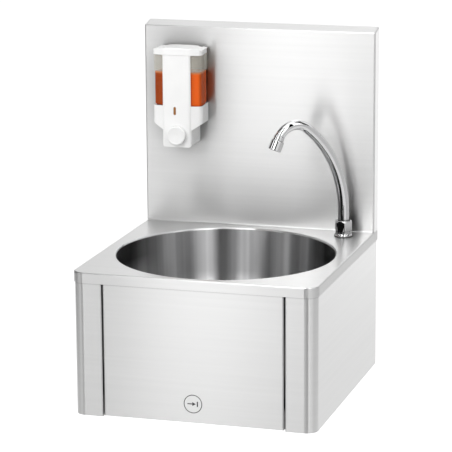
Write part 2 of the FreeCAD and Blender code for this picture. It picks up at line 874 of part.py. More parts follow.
def make_spout_feed_hose():
    """Hose from the knee valve, along the right side, up to the faucet's shank."""
    (valve_end, valve_way), (shank_end, shank_way) = hose_ends()
    start = valve_end + valve_way * (nipple_length + contact_gap)
    end = shank_end + shank_way * (nipple_length + contact_gap)
    points = [
        start,
        Vector(skirt_inner - hose_first_side_gap, start.y, start.z),
        Vector(skirt_inner - hose_side_gap, start.y + hose_back_step, start.z),
        Vector(faucet.x + hose_rear_bulge, faucet.y - hose_rear_run, valve_z + hose_low_rise),
        Vector(faucet.x, faucet.y, valve_z + hose_high_rise),
        end,
    ]
    path, radii = route_wire(points)
    print("feed hose bend radii", [round(radius, 1) for radius in radii])
    section = Part.Wire(Part.makeCircle(hose_radius, start, X_AXIS))
    solid = path.makePipeShell([section], True, False)
    share = solid.Volume / (math.pi * hose_radius ** 2 * path.Length)
    print("feed hose volume against section times length", round(share, 4))
    return solid


def make_hose_nuts():
    """Union nuts at both ends of the hose."""
    nuts = []
    for end, way in hose_ends():
        base = end + way * overcut
        nut = hexagon(hose_nut_flats, base, way, hose_nut_length)
        nuts.append(nut.cut(rod(nipple_radius + running_gap, base - way, base + way * 20)))
    return group(nuts)


# Faucet

def above_deck(height):
    """Point on the faucet's upright axis, by its height above the deck."""
    return faucet + Z_AXIS * height


def make_faucet_gasket():
    """Rubber ring under the faucet's flange."""
    inner = shank_radius + contact_gap
    return ring(flange_radius - 0.5, inner, faucet, Z_AXIS, faucet_gasket_thickness)


def make_faucet_base():
    """Flared flange with the swivel socket above it and the threaded shank below the deck."""
    foot = faucet_gasket_thickness
    socket = spout_foot_radius + 2 * running_gap
    socket_floor = neck_height - spout_foot_length
    flare = flange_radius - neck_radius
    profile = [
        (water_bore, -shank_length - nipple_length), (nipple_radius, -shank_length - nipple_length, 0.6),
        (nipple_radius, -shank_length), (shank_radius, -shank_length, 1), (shank_radius, foot),
        (flange_radius, foot), (flange_radius, foot + 2, 0.8), (flange_radius - flare / 2, foot + 4, 4),
        (neck_radius + 1.5, flange_height), (neck_radius, flange_height), (neck_radius, neck_height, 0.6),
        (socket, neck_height), (socket, socket_floor), (water_bore, socket_floor),
    ]
    return turned(profile, faucet)


def make_shank_washer():
    """Steel washer under the deck."""
    top = Vector(faucet.x, faucet.y, deck_under)
    return ring(washer_radius, shank_radius + contact_gap, top, -Z_AXIS, washer_thickness)


def make_shank_locknut():
    """Nut that clamps the faucet to the deck."""
    top = Vector(faucet.x, faucet.y, deck_under - washer_thickness)
    nut = hexagon(locknut_flats, top, -Z_AXIS, locknut_height)
    return nut.cut(rod(shank_radius + running_gap, top + Z_AXIS, top - Z_AXIS * 20))


def make_spout_nut():
    """Hexagon union nut that holds the spout's collar down."""
    bottom = above_deck(flange_height)
    height = spout_nut_top - flange_height
    nut = hexagon(spout_nut_flats, bottom, Z_AXIS, height, spout_nut_turn)
    crown = turned([
        (0, 0), (spout_nut_flats, 0), (spout_nut_flats, height - 4),
        (spout_root_radius + 2, height), (0, height),
    ], bottom)
    nut = nut.common(crown)
    thread_top = above_deck(spout_nut_top - spout_nut_cap)
    nut = nut.cut(rod(neck_radius + running_gap, bottom - Z_AXIS, thread_top))
    return nut.cut(rod(spout_root_radius + 2 * running_gap, bottom, above_deck(spout_nut_top + 1)))


def spout_frame():
    """Rest direction of the spout in plan."""
    angle = math.radians(faucet_direction)
    return Vector(math.cos(angle), math.sin(angle), 0)


def spout_stations():
    """Stations of the swan neck: foot, end of rise, end of sweep, end of bend, tip, and end direction."""
    outward = spout_frame()
    sweep = math.radians(spout_sweep_angle)
    turn = math.radians(spout_sweep_angle + spout_bend_angle)

    def sweep_point(angle):
        reach = spout_sweep_radius * (1 - math.cos(angle))
        return above_deck(spout_rise + spout_sweep_radius * math.sin(angle)) + outward * reach

    bend_centre = sweep_point(sweep)
    bend_centre += outward * spout_bend_radius * math.cos(sweep)
    bend_centre -= Z_AXIS * spout_bend_radius * math.sin(sweep)

    def bend_point(angle):
        across = outward * -math.cos(angle) + Z_AXIS * math.sin(angle)
        return bend_centre + across * spout_bend_radius

    way = outward * math.sin(turn) + Z_AXIS * math.cos(turn)
    root = above_deck(neck_height + contact_gap)
    edges = [
        Part.LineSegment(root, sweep_point(0)).toShape(),
        Part.Arc(sweep_point(0), sweep_point(sweep / 2), sweep_point(sweep)).toShape(),
        Part.Arc(bend_point(sweep), bend_point((sweep + turn) / 2), bend_point(turn)).toShape(),
        Part.LineSegment(bend_point(turn), bend_point(turn) + way * spout_tip_length).toShape(),
    ]
    tip = bend_point(turn) + way * spout_tip_length
    return edges, root, tip, way


def swan_neck(edges, root, tip, way, inset):
    """Tapering tube along the swan neck, its skin moved inwards by inset."""
    shell = Part.BRepOffsetAPI.MakePipeShell(Part.Wire(edges))
    shell.add(Part.Wire(Part.makeCircle(spout_root_radius - inset, root, Z_AXIS)))
    shell.add(Part.Wire(Part.makeCircle(spout_tip_radius - inset, tip, way)))
    shell.build()
    shell.makeSolid()
    return Part.Solid(shell.shape())


def make_spout():
    """Hollow swan neck with its collar and its grooved foot."""
    edges, root, tip, way = spout_stations()
    solid = swan_neck(edges, root, tip, way, 0)
    groove = 2 * o_ring_radius + 0.4
    groove_floor = spout_foot_radius - 2 * o_ring_radius - 0.1
    first = spout_foot_length - 4
    second = first - groove - 1.6
    profile = [
        (0, 0.5), (spout_foot_radius, 0.5, 0.6),
        (spout_foot_radius, second - groove), (groove_floor, second - groove),
        (groove_floor, second), (spout_foot_radius, second),
        (spout_foot_radius, first - groove), (groove_floor, first - groove),
        (groove_floor, first), (spout_foot_radius, first),
        (spout_foot_radius, spout_foot_length + contact_gap),
        (collar_radius, spout_foot_length + contact_gap),
        (collar_radius, spout_foot_length + contact_gap + spout_collar),
        (0, spout_foot_length + contact_gap + spout_collar),
    ]
    foot = turned(profile, above_deck(neck_height - spout_foot_length))
    solid = solid.fuse(foot)
    bore = swan_neck(edges, root, tip, way, spout_wall)
    foot_bore = rod(water_bore, above_deck(neck_height - spout_foot_length - 1), root + Z_AXIS * 2)
    return solid.cut(bore).cut(foot_bore)


def make_spout_o_rings():
    """Two O-rings in the grooves of the spout's foot."""
    groove = 2 * o_ring_radius + 0.4
    first = spout_foot_length - 4
    second = first - groove - 1.6
    base = neck_height - spout_foot_length - groove / 2
    centre_radius = spout_foot_radius - o_ring_radius
    return group([
        Part.makeTorus(centre_radius, o_ring_radius, above_deck(base + top)) for top in (first, second)
    ])


def aerator_base():
    """Point on the spout's tip where the aerator starts, and the way it points."""
    edges, root, tip, way = spout_stations()
    return tip - way * aerator_lap, way


def make_aerator_shell():
    """Sleeve screwed over the spout's end."""
    base, way = aerator_base()
    lap_bore = spout_tip_radius + 0.15
    chamber = aerator_radius - aerator_wall
    profile = [
        (lap_bore, 0), (aerator_radius, 0, 1.5), (aerator_radius, aerator_length, 0.8),
        (chamber, aerator_length), (chamber, aerator_lap + overcut), (lap_bore, aerator_lap + overcut),
    ]
    return turned(profile, base, way)


def make_aerator_insert():
    """Perforated flow insert inside the aerator."""
    base, way = aerator_base()
    radius = aerator_radius - aerator_wall - running_gap
    start = aerator_lap + 2 * overcut
    length = aerator_length - start - 1.5
    solid = turned([(0, start), (radius, start), (radius, start + length), (0, start + length)])
    for step in range(6):
        angle = math.pi * step / 3
        hole = Vector(math.cos(angle), math.sin(angle), 0) * radius * 0.55
        solid = solid.cut(rod(1.6, hole, hole + Z_AXIS * (aerator_length + overcut)))
    solid.Placement = FreeCAD.Placement(base, FreeCAD.Rotation(Z_AXIS, way))
    return solid


# Waste and trap

def on_drain(height):
    """Point on the drain's upright axis."""
    return Vector(bowl_centre.x, bowl_centre.y, height)


def make_strainer():
    """Perforated plate in the bowl's recess."""
    radius = waste_recess_radius - 2 * sheet - contact_gap
    solid = turned([
        (0, 0), (radius, 0), (radius, strainer_thickness, 0.6), (0, strainer_thickness),
    ], on_drain(recess_z))
    up = Z_AXIS * (strainer_thickness + overcut)
    outer_ring = waste_hole_radius - strainer_rim
    for count, circle in ((6, outer_ring - strainer_ring_step), (12, outer_ring)):
        for step in range(count):
            angle = 2 * math.pi * step / count
            hole = on_drain(recess_z) + Vector(math.cos(angle), math.sin(angle), 0) * circle
            solid = solid.cut(rod(strainer_hole_radius, hole - Z_AXIS, hole + up))
    screw_hole = strainer_screw_radius + running_gap
    return solid.cut(rod(screw_hole, on_drain(recess_z - 1), on_drain(recess_z) + up))


def make_strainer_screw():
    """Slotted screw that draws the strainer and the waste body together."""
    seat = on_drain(recess_z + strainer_thickness)
    head = strainer_screw_head
    profile = [(0, 0), (head, 0), (head, 2.2, 1.2), (0, 2.2)]
    solid = turned(profile, seat).fuse(rod(strainer_screw_radius, seat, on_drain(waste_top - 14)))
    slot = block((-head - 1, head + 1), (seat.y - 0.6, seat.y + 0.6), (seat.z + 1.2, seat.z + 3))
    return solid.cut(slot).removeSplitter()


def make_waste_gasket():
    """Rubber ring between the bowl and the waste body."""
    return ring(waste_recess_radius, waste_hole_radius, on_drain(waste_top), Z_AXIS, gasket_thickness)


def make_waste_body():
    """Waste cup with the screw's bridge and the tailpiece."""
    end = 2 - waste_to_trap - trap_neck
    inner = tailpiece_radius - tube_wall
    profile = [
        (waste_hole_radius, 0), (waste_recess_radius, 0, 0.6), (waste_recess_radius, -3, 1),
        (waste_hole_radius + tube_wall, -3), (waste_hole_radius + tube_wall, -10, 3),
        (tailpiece_radius, -16), (tailpiece_radius, end),
        (inner, end), (inner, -15), (waste_hole_radius, -9),
    ]
    solid = turned(profile, on_drain(waste_top))
    bridge = block((-waste_hole_radius - 0.5, waste_hole_radius + 0.5), (-3, 3), (-9, -4))
    bridge = bridge.fuse(rod(5.5, Vector(0, 0, -10), Vector(0, 0, -4)))
    bridge.translate(on_drain(waste_top))
    solid = solid.fuse(bridge)
    screw_hole = strainer_screw_radius + running_gap
    return solid.cut(rod(screw_hole, on_drain(waste_top - 12), on_drain(waste_top))).removeSplitter()


def make_trap_head():
    """Upper half of the bottle trap with its neck and its rear outlet."""
    neck = trap_neck_top
    crown = trap_crown
    joint = trap_joint
    neck_bore = tailpiece_radius + 2 * running_gap
    collar = neck_bore + trap_wall
    inner = trap_radius - trap_wall
    profile = [
        (neck_bore, neck), (collar, neck), (collar, crown), (trap_radius, crown, 5),
        (trap_radius, joint), (inner, joint), (inner, crown - trap_wall, 3), (neck_bore, crown - trap_wall),
    ]
    solid = turned(profile, on_drain(0))
    middle = on_drain(trap_outlet_z)
    outlet_end = middle + Y_AXIS * (trap_radius + 16)
    pipe_bore = outlet_pipe_radius + 2 * running_gap
    solid = solid.fuse(rod(pipe_bore + trap_wall, middle + Y_AXIS * (trap_radius - 6), outlet_end))
    well = [(0, joint), (inner, joint), (inner, crown - trap_wall, 3), (0, crown - trap_wall)]
    solid = solid.cut(turned(well, on_drain(0)))
    solid = solid.cut(rod(pipe_bore, middle + Y_AXIS * (trap_radius - 12), outlet_end + Y_AXIS))
    return solid.removeSplitter()


def make_trap_dip_tube():
    """Tube that carries the water down into the trap's cup."""
    top = trap_crown - trap_wall - contact_gap
    length = top - (trap_bottom + 12)
    return ring(tailpiece_radius, tailpiece_radius - tube_wall, on_drain(top), -Z_AXIS, length)


def make_trap_cup():
    """Removable lower cup with grip ribs."""
    top = trap_joint - trap_seal
    inner = trap_radius - trap_wall
    profile = [
        (0, trap_bottom), (trap_radius, trap_bottom, 6), (trap_radius, top),
        (inner, top), (inner, trap_bottom + trap_wall, 4), (0, trap_bottom + trap_wall),
    ]
    solid = turned(profile, on_drain(0))
    for step in range(8):
        angle = 2 * math.pi * step / 8
        foot = on_drain(trap_bottom + 7) + Vector(math.cos(angle), math.sin(angle), 0) * (trap_radius - 0.6)
        solid = solid.fuse(rod(2, foot, Vector(foot.x, foot.y, top)))
    return solid.removeSplitter()


def make_trap_cup_seal():
    """Flat ring between the trap's head and cup."""
    return ring(trap_radius, trap_radius - trap_wall, on_drain(trap_joint - trap_seal), Z_AXIS, trap_seal)


def union_nut(bore, base, way):
    """Round plastic nut with grip ribs."""
    solid = ring(trap_nut_radius, bore, Vector(), Z_AXIS, trap_nut_height)
    for step in range(10):
        angle = 2 * math.pi * step / 10
        foot = Vector(math.cos(angle), math.sin(angle), 0) * (trap_nut_radius - 0.5)
        solid = solid.fuse(rod(1.8, foot + Z_AXIS, foot + Z_AXIS * (trap_nut_height - 1)))
    solid = solid.removeSplitter()
    solid.Placement = FreeCAD.Placement(base, FreeCAD.Rotation(Z_AXIS, way))
    return solid


def make_trap_union_nut():
    """Nut round the trap's neck."""
    bore = tailpiece_radius + trap_wall + 4 * running_gap
    return union_nut(bore, on_drain(trap_neck_top - trap_neck + 0.5), Z_AXIS)


def make_trap_outlet_nut():
    """Nut round the trap's outlet."""
    bore = outlet_pipe_radius + trap_wall + 4 * running_gap
    return union_nut(bore, on_drain(trap_outlet_z) + Y_AXIS * (trap_radius + 3), Y_AXIS)


def make_trap_outlet_pipe():
    """Straight pipe from the trap to the wall, with a bead that stops the waste socket."""
    start = on_drain(trap_outlet_z) + Y_AXIS * (trap_radius + 2)
    length = -outlet_pipe_end - start.y
    bore = outlet_pipe_radius - tube_wall
    bead = outlet_pipe_radius + 1
    bead_end = length - outlet_spigot
    profile = [
        (bore, 0), (outlet_pipe_radius, 0), (outlet_pipe_radius, bead_end - 3),
        (bead, bead_end - 3, 0.8), (bead, bead_end, 0.8), (outlet_pipe_radius, bead_end),
        (outlet_pipe_radius, length), (bore, length),
    ]
    return turned(profile, start, Y_AXIS)


# Soap dispenser

def dispenser_plan(inset, back, front_depth, front_half):
    """Plan of the dispenser: sides that draw in towards the wall and a softly faceted front."""
    draw = dispenser_side_taper / dispenser_side_depth
    shoulder = dispenser_back - dispenser_side_depth
    side = dispenser_half_width - inset * (1 + draw)
    heel = dispenser_half_width - inset - draw * (back - shoulder)
    bend_y = shoulder + inset
    front = dispenser_back - front_depth + inset
    left = [(dispenser_x - heel, back), (dispenser_x - side, bend_y, 8 - inset)]
    right = [(dispenser_x + side, bend_y, 8 - inset), (dispenser_x + heel, back)]
    nose = front_half - inset / 2
    return left + [(dispenser_x - nose, front, 25), (dispenser_x + nose, front, 25)] + right


def body_plan(inset, back):
    """Plan of the housing and the tank."""
    return dispenser_plan(inset, back, dispenser_front_depth, dispenser_front_half)


def lid_plan(inset, back):
    """Plan of the lid, which also covers the front band."""
    return dispenser_plan(inset, back, lid_front_depth, lid_front_half)


def housing(inset, back, top):
    """Lower housing with sloping shoulders."""
    low = shoulder_low + inset
    high = shoulder_high + inset / 2
    side = dispenser_half_width - inset
    nose = band_half_width - inset
    face = [
        (dispenser_x - side, top), (dispenser_x - side, high, 3), (dispenser_x - nose, low),
        (dispenser_x + nose, low), (dispenser_x + side, high, 3), (dispenser_x + side, top),
    ]
    solid = prism(body_plan(inset, back), "plan", low, top)
    return solid.common(prism(face, "front", band_front - 10, back + 10))


def band(inset, back, top):
    """White band down the front, which holds the button below."""
    side = band_half_width - inset
    front = band_front + inset
    rounding = 5 - inset
    plan = [
        (dispenser_x - side, back), (dispenser_x - side, front, rounding),
        (dispenser_x + side, front, rounding), (dispenser_x + side, back),
    ]
    low = dispenser_bottom + inset
    face = [
        (dispenser_x - side, top), (dispenser_x - side, low, rounding),
        (dispenser_x + side, low, rounding), (dispenser_x + side, top),
    ]
    return prism(plan, "plan", low, top).common(prism(face, "front", band_front - 10, back + 10))


def slot_outline(inset):
    """Upright slot of the sight window."""
    half = slot_width / 2 - inset
    middle = dispenser_x - slot_left_of_middle
    centre = housing_top - slot_below_housing_top
    low = centre - slot_length / 2 + inset
    high = centre + slot_length / 2 - inset
    rounding = half - 0.05
    return [
        (middle - half, low, rounding), (middle + half, low, rounding),
        (middle + half, high, rounding), (middle - half, high, rounding),
    ]


def make_dispenser_cover():
    """White moulding: front band, lower housing and button box, open at the back."""
    solid = housing(0, dispenser_back, housing_top).fuse(band(0, dispenser_back, band_top))
    behind = dispenser_back + 5
    solid = solid.cut(housing(plastic_wall, behind, housing_top + overcut))
    solid = solid.cut(band(plastic_wall, behind, band_top + overcut))
    room = prism(body_plan(0, behind), "plan", housing_top, band_top + overcut)
    solid = solid.cut(room)
    button = Vector(dispenser_x, band_front - overcut, button_z)
    solid = solid.cut(rod(button_radius + contact_gap, button, button + Y_AXIS * 5))
    solid = solid.cut(prism(slot_outline(0), "front", band_front - overcut, band_front + 4))
    solid = solid.cut(rod(nozzle_radius + contact_gap, nozzle_top, nozzle_top - Z_AXIS * 40))
    return solid.removeSplitter()


def make_sight_window():
    """Amber window in the slot."""
    return prism(slot_outline(running_gap), "front", band_front + 0.4, band_front + plastic_wall + 0.4)


def make_soap_tank():
    """Clear open-topped tank with a narrower foot inside the housing."""
    back = backplate_front - contact_gap
    step = housing_top + contact_gap
    top = band_top - contact_gap
    foot_inset = plastic_wall + contact_gap
    body_inset = contact_gap
    solid = prism(body_plan(foot_inset, back), "plan", tank_floor, step + tank_wall)
    solid = solid.fuse(prism(body_plan(body_inset, back), "plan", step, top))
    for part in soap_spaces(0, top + overcut):
        solid = solid.cut(part)
    pipe_top = Vector(dispenser_x, pump_inlet.y, tank_floor + tank_wall + overcut)
    return solid.cut(rod(pump_inlet_radius + running_gap, pump_inlet, pipe_top)).removeSplitter()


def soap_spaces(gap, top):
    """Inside of the tank's foot and of its body, less a gap all round."""
    back = backplate_front - contact_gap - tank_wall - gap
    foot_inset = plastic_wall + contact_gap + tank_wall + gap
    body_inset = contact_gap + tank_wall + gap
    foot = tank_floor + tank_wall + gap
    step = housing_top + contact_gap + tank_wall + gap
    lower = prism(body_plan(foot_inset, back), "plan", foot, step + gap)
    upper = prism(body_plan(body_inset, back), "plan", step, top)
    return lower, upper


def make_soap_fill():
    """Liquid soap in the tank."""
    lower, upper = soap_spaces(running_gap, soap_level)
    return lower.fuse(upper).removeSplitter()


def lid_block(inset, back):
    """Lid without its inside: an arch across, rounded off at the back and the front."""
    low = band_top + contact_gap if inset == 0 else band_top - overcut
    crown = lid_crown - inset
    half = dispenser_half_width
    arch_radius = (half ** 2 + lid_arch_drop ** 2) / (2 * lid_arch_drop)
    front = dispenser_back - lid_front_depth + inset
    solid = prism(lid_plan(inset, back), "plan", low, crown + overcut)
    axis = Vector(dispenser_x, front - overcut, crown - arch_radius)
    solid = solid.common(rod(arch_radius, axis, Vector(dispenser_x, back + overcut, axis.z)))
    profile = [
        (front, low), (back, low),
        (back, crown, lid_rise - lid_rear_upright), (front, crown, lid_front_rounding),
    ]
    return solid.common(prism(profile, "side", dispenser_x - half, dispenser_x + half))


def make_dispenser_lid():
    """Arched lid with two knuckles on the hinge pin and notches for the backplate's ears."""
    back = splash_face - lid_back
    outer = lid_block(0, back)
    solid = outer.cut(lid_block(plastic_wall, back - plastic_wall))
    behind_axis = block(
        (dispenser_x - half_width, dispenser_x + half_width),
        (lid_axis_y, splash_face),
        (band_top, lid_axis_z + knuckle_radius),
    )
    solid = solid.cut(behind_axis)
    for side in (-1, 1):
        centre = dispenser_x + side * knuckle_x
        span = (centre - knuckle_width / 2, centre + knuckle_width / 2)
        web_y = (lid_axis_y - knuckle_radius, lid_axis_y)
        web = block(span, web_y, (lid_axis_z, lid_crown)).common(outer)
        start = Vector(span[0], lid_axis_y, lid_axis_z)
        end = Vector(span[1], lid_axis_y, lid_axis_z)
        solid = solid.fuse(web.fuse(rod(knuckle_radius, start, end)))
        bore_end = X_AXIS * overcut
        solid = solid.cut(rod(lid_pin_radius + running_gap, start - bore_end, end + bore_end))
        ear = dispenser_x + side * ear_x
        room = knuckle_width / 2 + 2 * contact_gap
        notch_y = (lid_axis_y - knuckle_radius - 2 * contact_gap, splash_face)
        notch_z = (band_top, lid_crown)
        solid = solid.cut(block((ear - room, ear + room), notch_y, notch_z))
    return solid.removeSplitter()


def make_lid_hinge_pin():
    """Pin through the backplate's ears and the lid's knuckles."""
    reach = ear_x + knuckle_width / 2
    start = Vector(dispenser_x - reach, lid_axis_y, lid_axis_z)
    return rod(lid_pin_radius, start, start + X_AXIS * (2 * reach))


def make_dispenser_backplate():
    """Plate on the backsplash with a tongue behind the pump, the lid's ears and counterbored holes."""
    side = backplate_half_width
    low = backplate_bottom
    high = backplate_top
    tongue = backplate_tongue
    shoulder = shoulder_high + backplate_shoulder
    neck = shoulder - (side - tongue) / 2
    face = [
        (dispenser_x - tongue, low, 3), (dispenser_x + tongue, low, 3), (dispenser_x + tongue, neck, 3),
        (dispenser_x + side, shoulder, 3), (dispenser_x + side, high, 2),
        (dispenser_x - side, high, 2), (dispenser_x - side, shoulder, 3), (dispenser_x - tongue, neck, 3),
    ]
    front = backplate_front
    solid = prism(face, "front", front, splash_face)
    for sign in (-1, 1):
        centre = dispenser_x + sign * ear_x
        span = (centre - knuckle_width / 2, centre + knuckle_width / 2)
        arm_z = (high - 6, lid_axis_z + knuckle_radius / 2)
        solid = solid.fuse(block(span, (front, splash_face), arm_z))
        reach_z = (lid_axis_z - knuckle_radius, lid_axis_z + knuckle_radius / 2)
        solid = solid.fuse(block(span, (lid_axis_y, front), reach_z))
        start = Vector(span[0], lid_axis_y, lid_axis_z)
        end = Vector(span[1], lid_axis_y, lid_axis_z)
        solid = solid.fuse(rod(knuckle_radius, start, end))
        bore_end = X_AXIS * overcut
        solid = solid.cut(rod(lid_pin_radius + running_gap / 2, start - bore_end, end + bore_end))
    for height in screw_heights:
        seat = Vector(dispenser_x, front, height)
        sink = seat + Y_AXIS * (dispenser_screw_head_height + 2 * running_gap)
        head = rod(dispenser_screw_head + running_gap, seat - Y_AXIS, sink)
        shank = rod(dispenser_screw_radius + running_gap, seat, seat + Y_AXIS * 5)
        solid = solid.cut(head).cut(shank)
    return solid.removeSplitter()


def make_dispenser_screws():
    """Two screws that hold the backplate to the backsplash."""
    screws = []
    for height in screw_heights:
        seat = Vector(dispenser_x, backplate_front + 2 * running_gap, height)
        head = rod(dispenser_screw_head, seat, seat + Y_AXIS * dispenser_screw_head_height)
        screw = head.fuse(rod(dispenser_screw_radius, seat, seat + Y_AXIS * dispenser_screw_length))
        screws.append(screw.removeSplitter())
    return group(screws)


def make_dispenser_button():
    """Dished push button with the flange that keeps it in the box."""
    front = band_front - button_stand_out
    flange = band_front + plastic_wall + contact_gap - front
    profile = [
        (0, 1.2), (button_radius - 4, 0.4), (button_radius - 2.5, 0, 1), (button_radius, 0.6, 1.2),
        (button_radius, flange), (button_flange, flange), (button_flange, flange + plastic_wall),
        (0, flange + plastic_wall),
    ]
    return turned(profile, Vector(dispenser_x, front, button_z), Y_AXIS)


def make_pump_body():
    """Pump cylinder on the backplate, with the pipe that comes down from the tank."""
    start = Vector(dispenser_x, pump_front, button_z)
    rear = Vector(dispenser_x, backplate_front, button_z)
    solid = rod(pump_radius, start, rear)
    top = Vector(dispenser_x, pump_inlet.y, tank_floor + tank_wall)
    solid = solid.fuse(rod(pump_inlet_radius, pump_inlet, top))
    solid = solid.cut(rod(pump_bore, start - Y_AXIS, rear - Y_AXIS * pump_end_wall))
    solid = solid.cut(rod(pump_inlet_radius - tube_wall, pump_inlet, top + Z_AXIS))
    low = nozzle_top - Z_AXIS * pump_radius
    return solid.cut(rod(nozzle_radius + running_gap, low, nozzle_top)).removeSplitter()


def make_pump_piston():
    """Piston and stem that the button pushes."""
    start = Vector(dispenser_x, button_rear, button_z)
    neck = Vector(dispenser_x, pump_front + piston_depth, button_z)
    stem = rod(piston_stem, start, neck)
    return stem.fuse(rod(pump_bore - running_gap, neck, neck + Y_AXIS * piston_length)).removeSplitter()


def make_pump_spring():
    """Return spring of the button."""
    radius = (pump_bore + pump_radius) / 2
    wire = pump_spring_wire
    base = Vector(dispenser_x, button_rear + contact_gap + wire, button_z)
    length = pump_front - contact_gap - wire - base.y
    return coil(radius, wire, base, Y_AXIS, length, pump_spring_turns)


def make_soap_nozzle():
    """Nozzle that drops the soap below the box."""
    top = nozzle_top - Z_AXIS * overcut
    end = dispenser_bottom - nozzle_below
    bore = nozzle_radius - tube_wall
    profile = [(bore, 0), (nozzle_radius, 0), (nozzle_radius, top.z - end, 1), (bore, top.z - end)]
    return turned(profile, top, -Z_AXIS)


def main():
    valve_spring, valve_gap = make_valve_spring()
    pump_spring, pump_gap = make_pump_spring()
    print("valve spring least gap", round(valve_gap, 2))
    print("pump spring least gap", round(pump_gap, 2))
    right_skirt = make_right_skirt()
    nodes = {
        "deck": make_deck(),
        "bowl": make_bowl(),
        "backsplash": make_backsplash(),
        "right_skirt": right_skirt,
        "left_skirt": mirrored(right_skirt),
        "rear_panel": make_rear_panel(),
        "valve_crossbar": make_valve_crossbar(),
        "knee_panel": make_knee_panel(),
        "stop_pads": make_stop_pads(),
        "pivot_pins": make_pivot_pins(),
        "pivot_bushes": make_pivot_bushes(),
        "knee_valve_body": make_knee_valve_body(),
        "valve_gland_nut": make_valve_gland_nut(),
        "valve_plunger": make_valve_plunger(),
        "valve_spring": valve_spring,
        "mixing_valve_body": make_mixing_valve_body(),
        "hot_inlet": make_inlet(-1),
        "cold_inlet": make_inlet(1),
        "mixing_spindle": make_mixing_spindle(),
        "mixing_knob": make_mixing_knob(),
        "spout_feed_hose": make_spout_feed_hose(),
        "hose_nuts": make_hose_nuts(),
        "faucet_gasket": make_faucet_gasket(),
        "faucet_base": make_faucet_base(),
        "shank_washer": make_shank_washer(),
        "shank_locknut": make_shank_locknut(),
        "spout_nut": make_spout_nut(),
        "spout": make_spout(),
        "spout_o_rings": make_spout_o_rings(),
        "aerator_shell": make_aerator_shell(),
        "aerator_insert": make_aerator_insert(),
        "strainer": make_strainer(),
        "strainer_screw": make_strainer_screw(),
        "waste_gasket": make_waste_gasket(),
        "waste_body": make_waste_body(),
        "trap_union_nut": make_trap_union_nut(),
        "trap_head": make_trap_head(),
        "trap_dip_tube": make_trap_dip_tube(),
        "trap_cup": make_trap_cup(),
        "trap_cup_seal": make_trap_cup_seal(),
        "trap_outlet_nut": make_trap_outlet_nut(),
        "trap_outlet_pipe": make_trap_outlet_pipe(),
        "dispenser_backplate": make_dispenser_backplate(),
        "dispenser_screws": make_dispenser_screws(),
        "soap_tank": make_soap_tank(),
        "soap_fill": make_soap_fill(),
        "dispenser_cover": make_dispenser_cover(),
        "sight_window": make_sight_window(),
        "dispenser_lid": make_dispenser_lid(),
        "lid_hinge_pin": make_lid_hinge_pin(),
        "dispenser_button": make_dispenser_button(),
        "pump_body": make_pump_body(),
        "pump_piston": make_pump_piston(),
        "pump_spring": pump_spring,
        "soap_nozzle": make_soap_nozzle(),
    }
    os.makedirs("parts", exist_ok=True)
    for name, shape in nodes.items():
        shape.exportStep("parts/" + name + ".step")


main()
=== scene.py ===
import json
import math

import bmesh
import bpy
from mathutils import Matrix, Vector


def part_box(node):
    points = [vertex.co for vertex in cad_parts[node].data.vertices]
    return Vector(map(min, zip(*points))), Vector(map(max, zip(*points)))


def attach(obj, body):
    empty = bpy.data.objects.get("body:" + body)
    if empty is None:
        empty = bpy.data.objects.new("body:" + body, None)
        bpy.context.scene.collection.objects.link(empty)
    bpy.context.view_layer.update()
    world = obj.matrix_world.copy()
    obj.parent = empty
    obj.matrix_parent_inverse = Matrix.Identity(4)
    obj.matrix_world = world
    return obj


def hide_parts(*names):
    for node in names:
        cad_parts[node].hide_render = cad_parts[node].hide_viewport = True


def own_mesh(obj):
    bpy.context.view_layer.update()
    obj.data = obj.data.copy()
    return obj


# Looks of the knee-operated hand basin, in metres, in the CAD frame:
# X to the right, Y towards the wall, Z up, origin at the centre of the wall screws.

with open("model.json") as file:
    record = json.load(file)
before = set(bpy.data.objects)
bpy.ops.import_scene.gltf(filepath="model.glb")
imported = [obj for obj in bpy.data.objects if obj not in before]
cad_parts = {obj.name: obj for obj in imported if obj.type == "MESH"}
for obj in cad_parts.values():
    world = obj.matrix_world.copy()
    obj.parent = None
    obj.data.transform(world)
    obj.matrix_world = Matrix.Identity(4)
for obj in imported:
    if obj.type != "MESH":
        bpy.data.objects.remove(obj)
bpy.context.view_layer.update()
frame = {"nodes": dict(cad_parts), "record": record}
nodes = frame["nodes"]

MM = 0.001
UPWARD = Vector((0, 0, 1))
BACKWARD = Vector((0, 1, 0))


def middle_of(node):
    """Middle of a node's box."""
    low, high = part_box(node)
    return [(near + far) / 2 for near, far in zip(low, high)]


# Places read from the frame

DECK_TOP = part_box("deck")[1][2]
PANEL_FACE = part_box("knee_panel")[0][1]
BOWL_CENTRE = Vector((*middle_of("bowl")[:2], DECK_TOP))
SOAP_LOW, SOAP_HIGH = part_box("soap_fill")
SOAP_LEFT = SOAP_LOW[0]
SOAP_RIGHT = SOAP_HIGH[0]
SOAP_TOP = SOAP_HIGH[2]


# Camera

IMAGE_SIZE = 452
FOCAL_PIXELS = 2427.4
SENSOR_WIDTH = 36.0
CAMERA_YAW = math.radians(16.632)
CAMERA_PITCH = math.radians(13.005)
CAMERA_ROLL = math.radians(-0.364)
CAMERA_DISTANCE = 3.9544
CAMERA_AIM = Vector((-0.00688, -0.2, DECK_TOP + 0.0384))


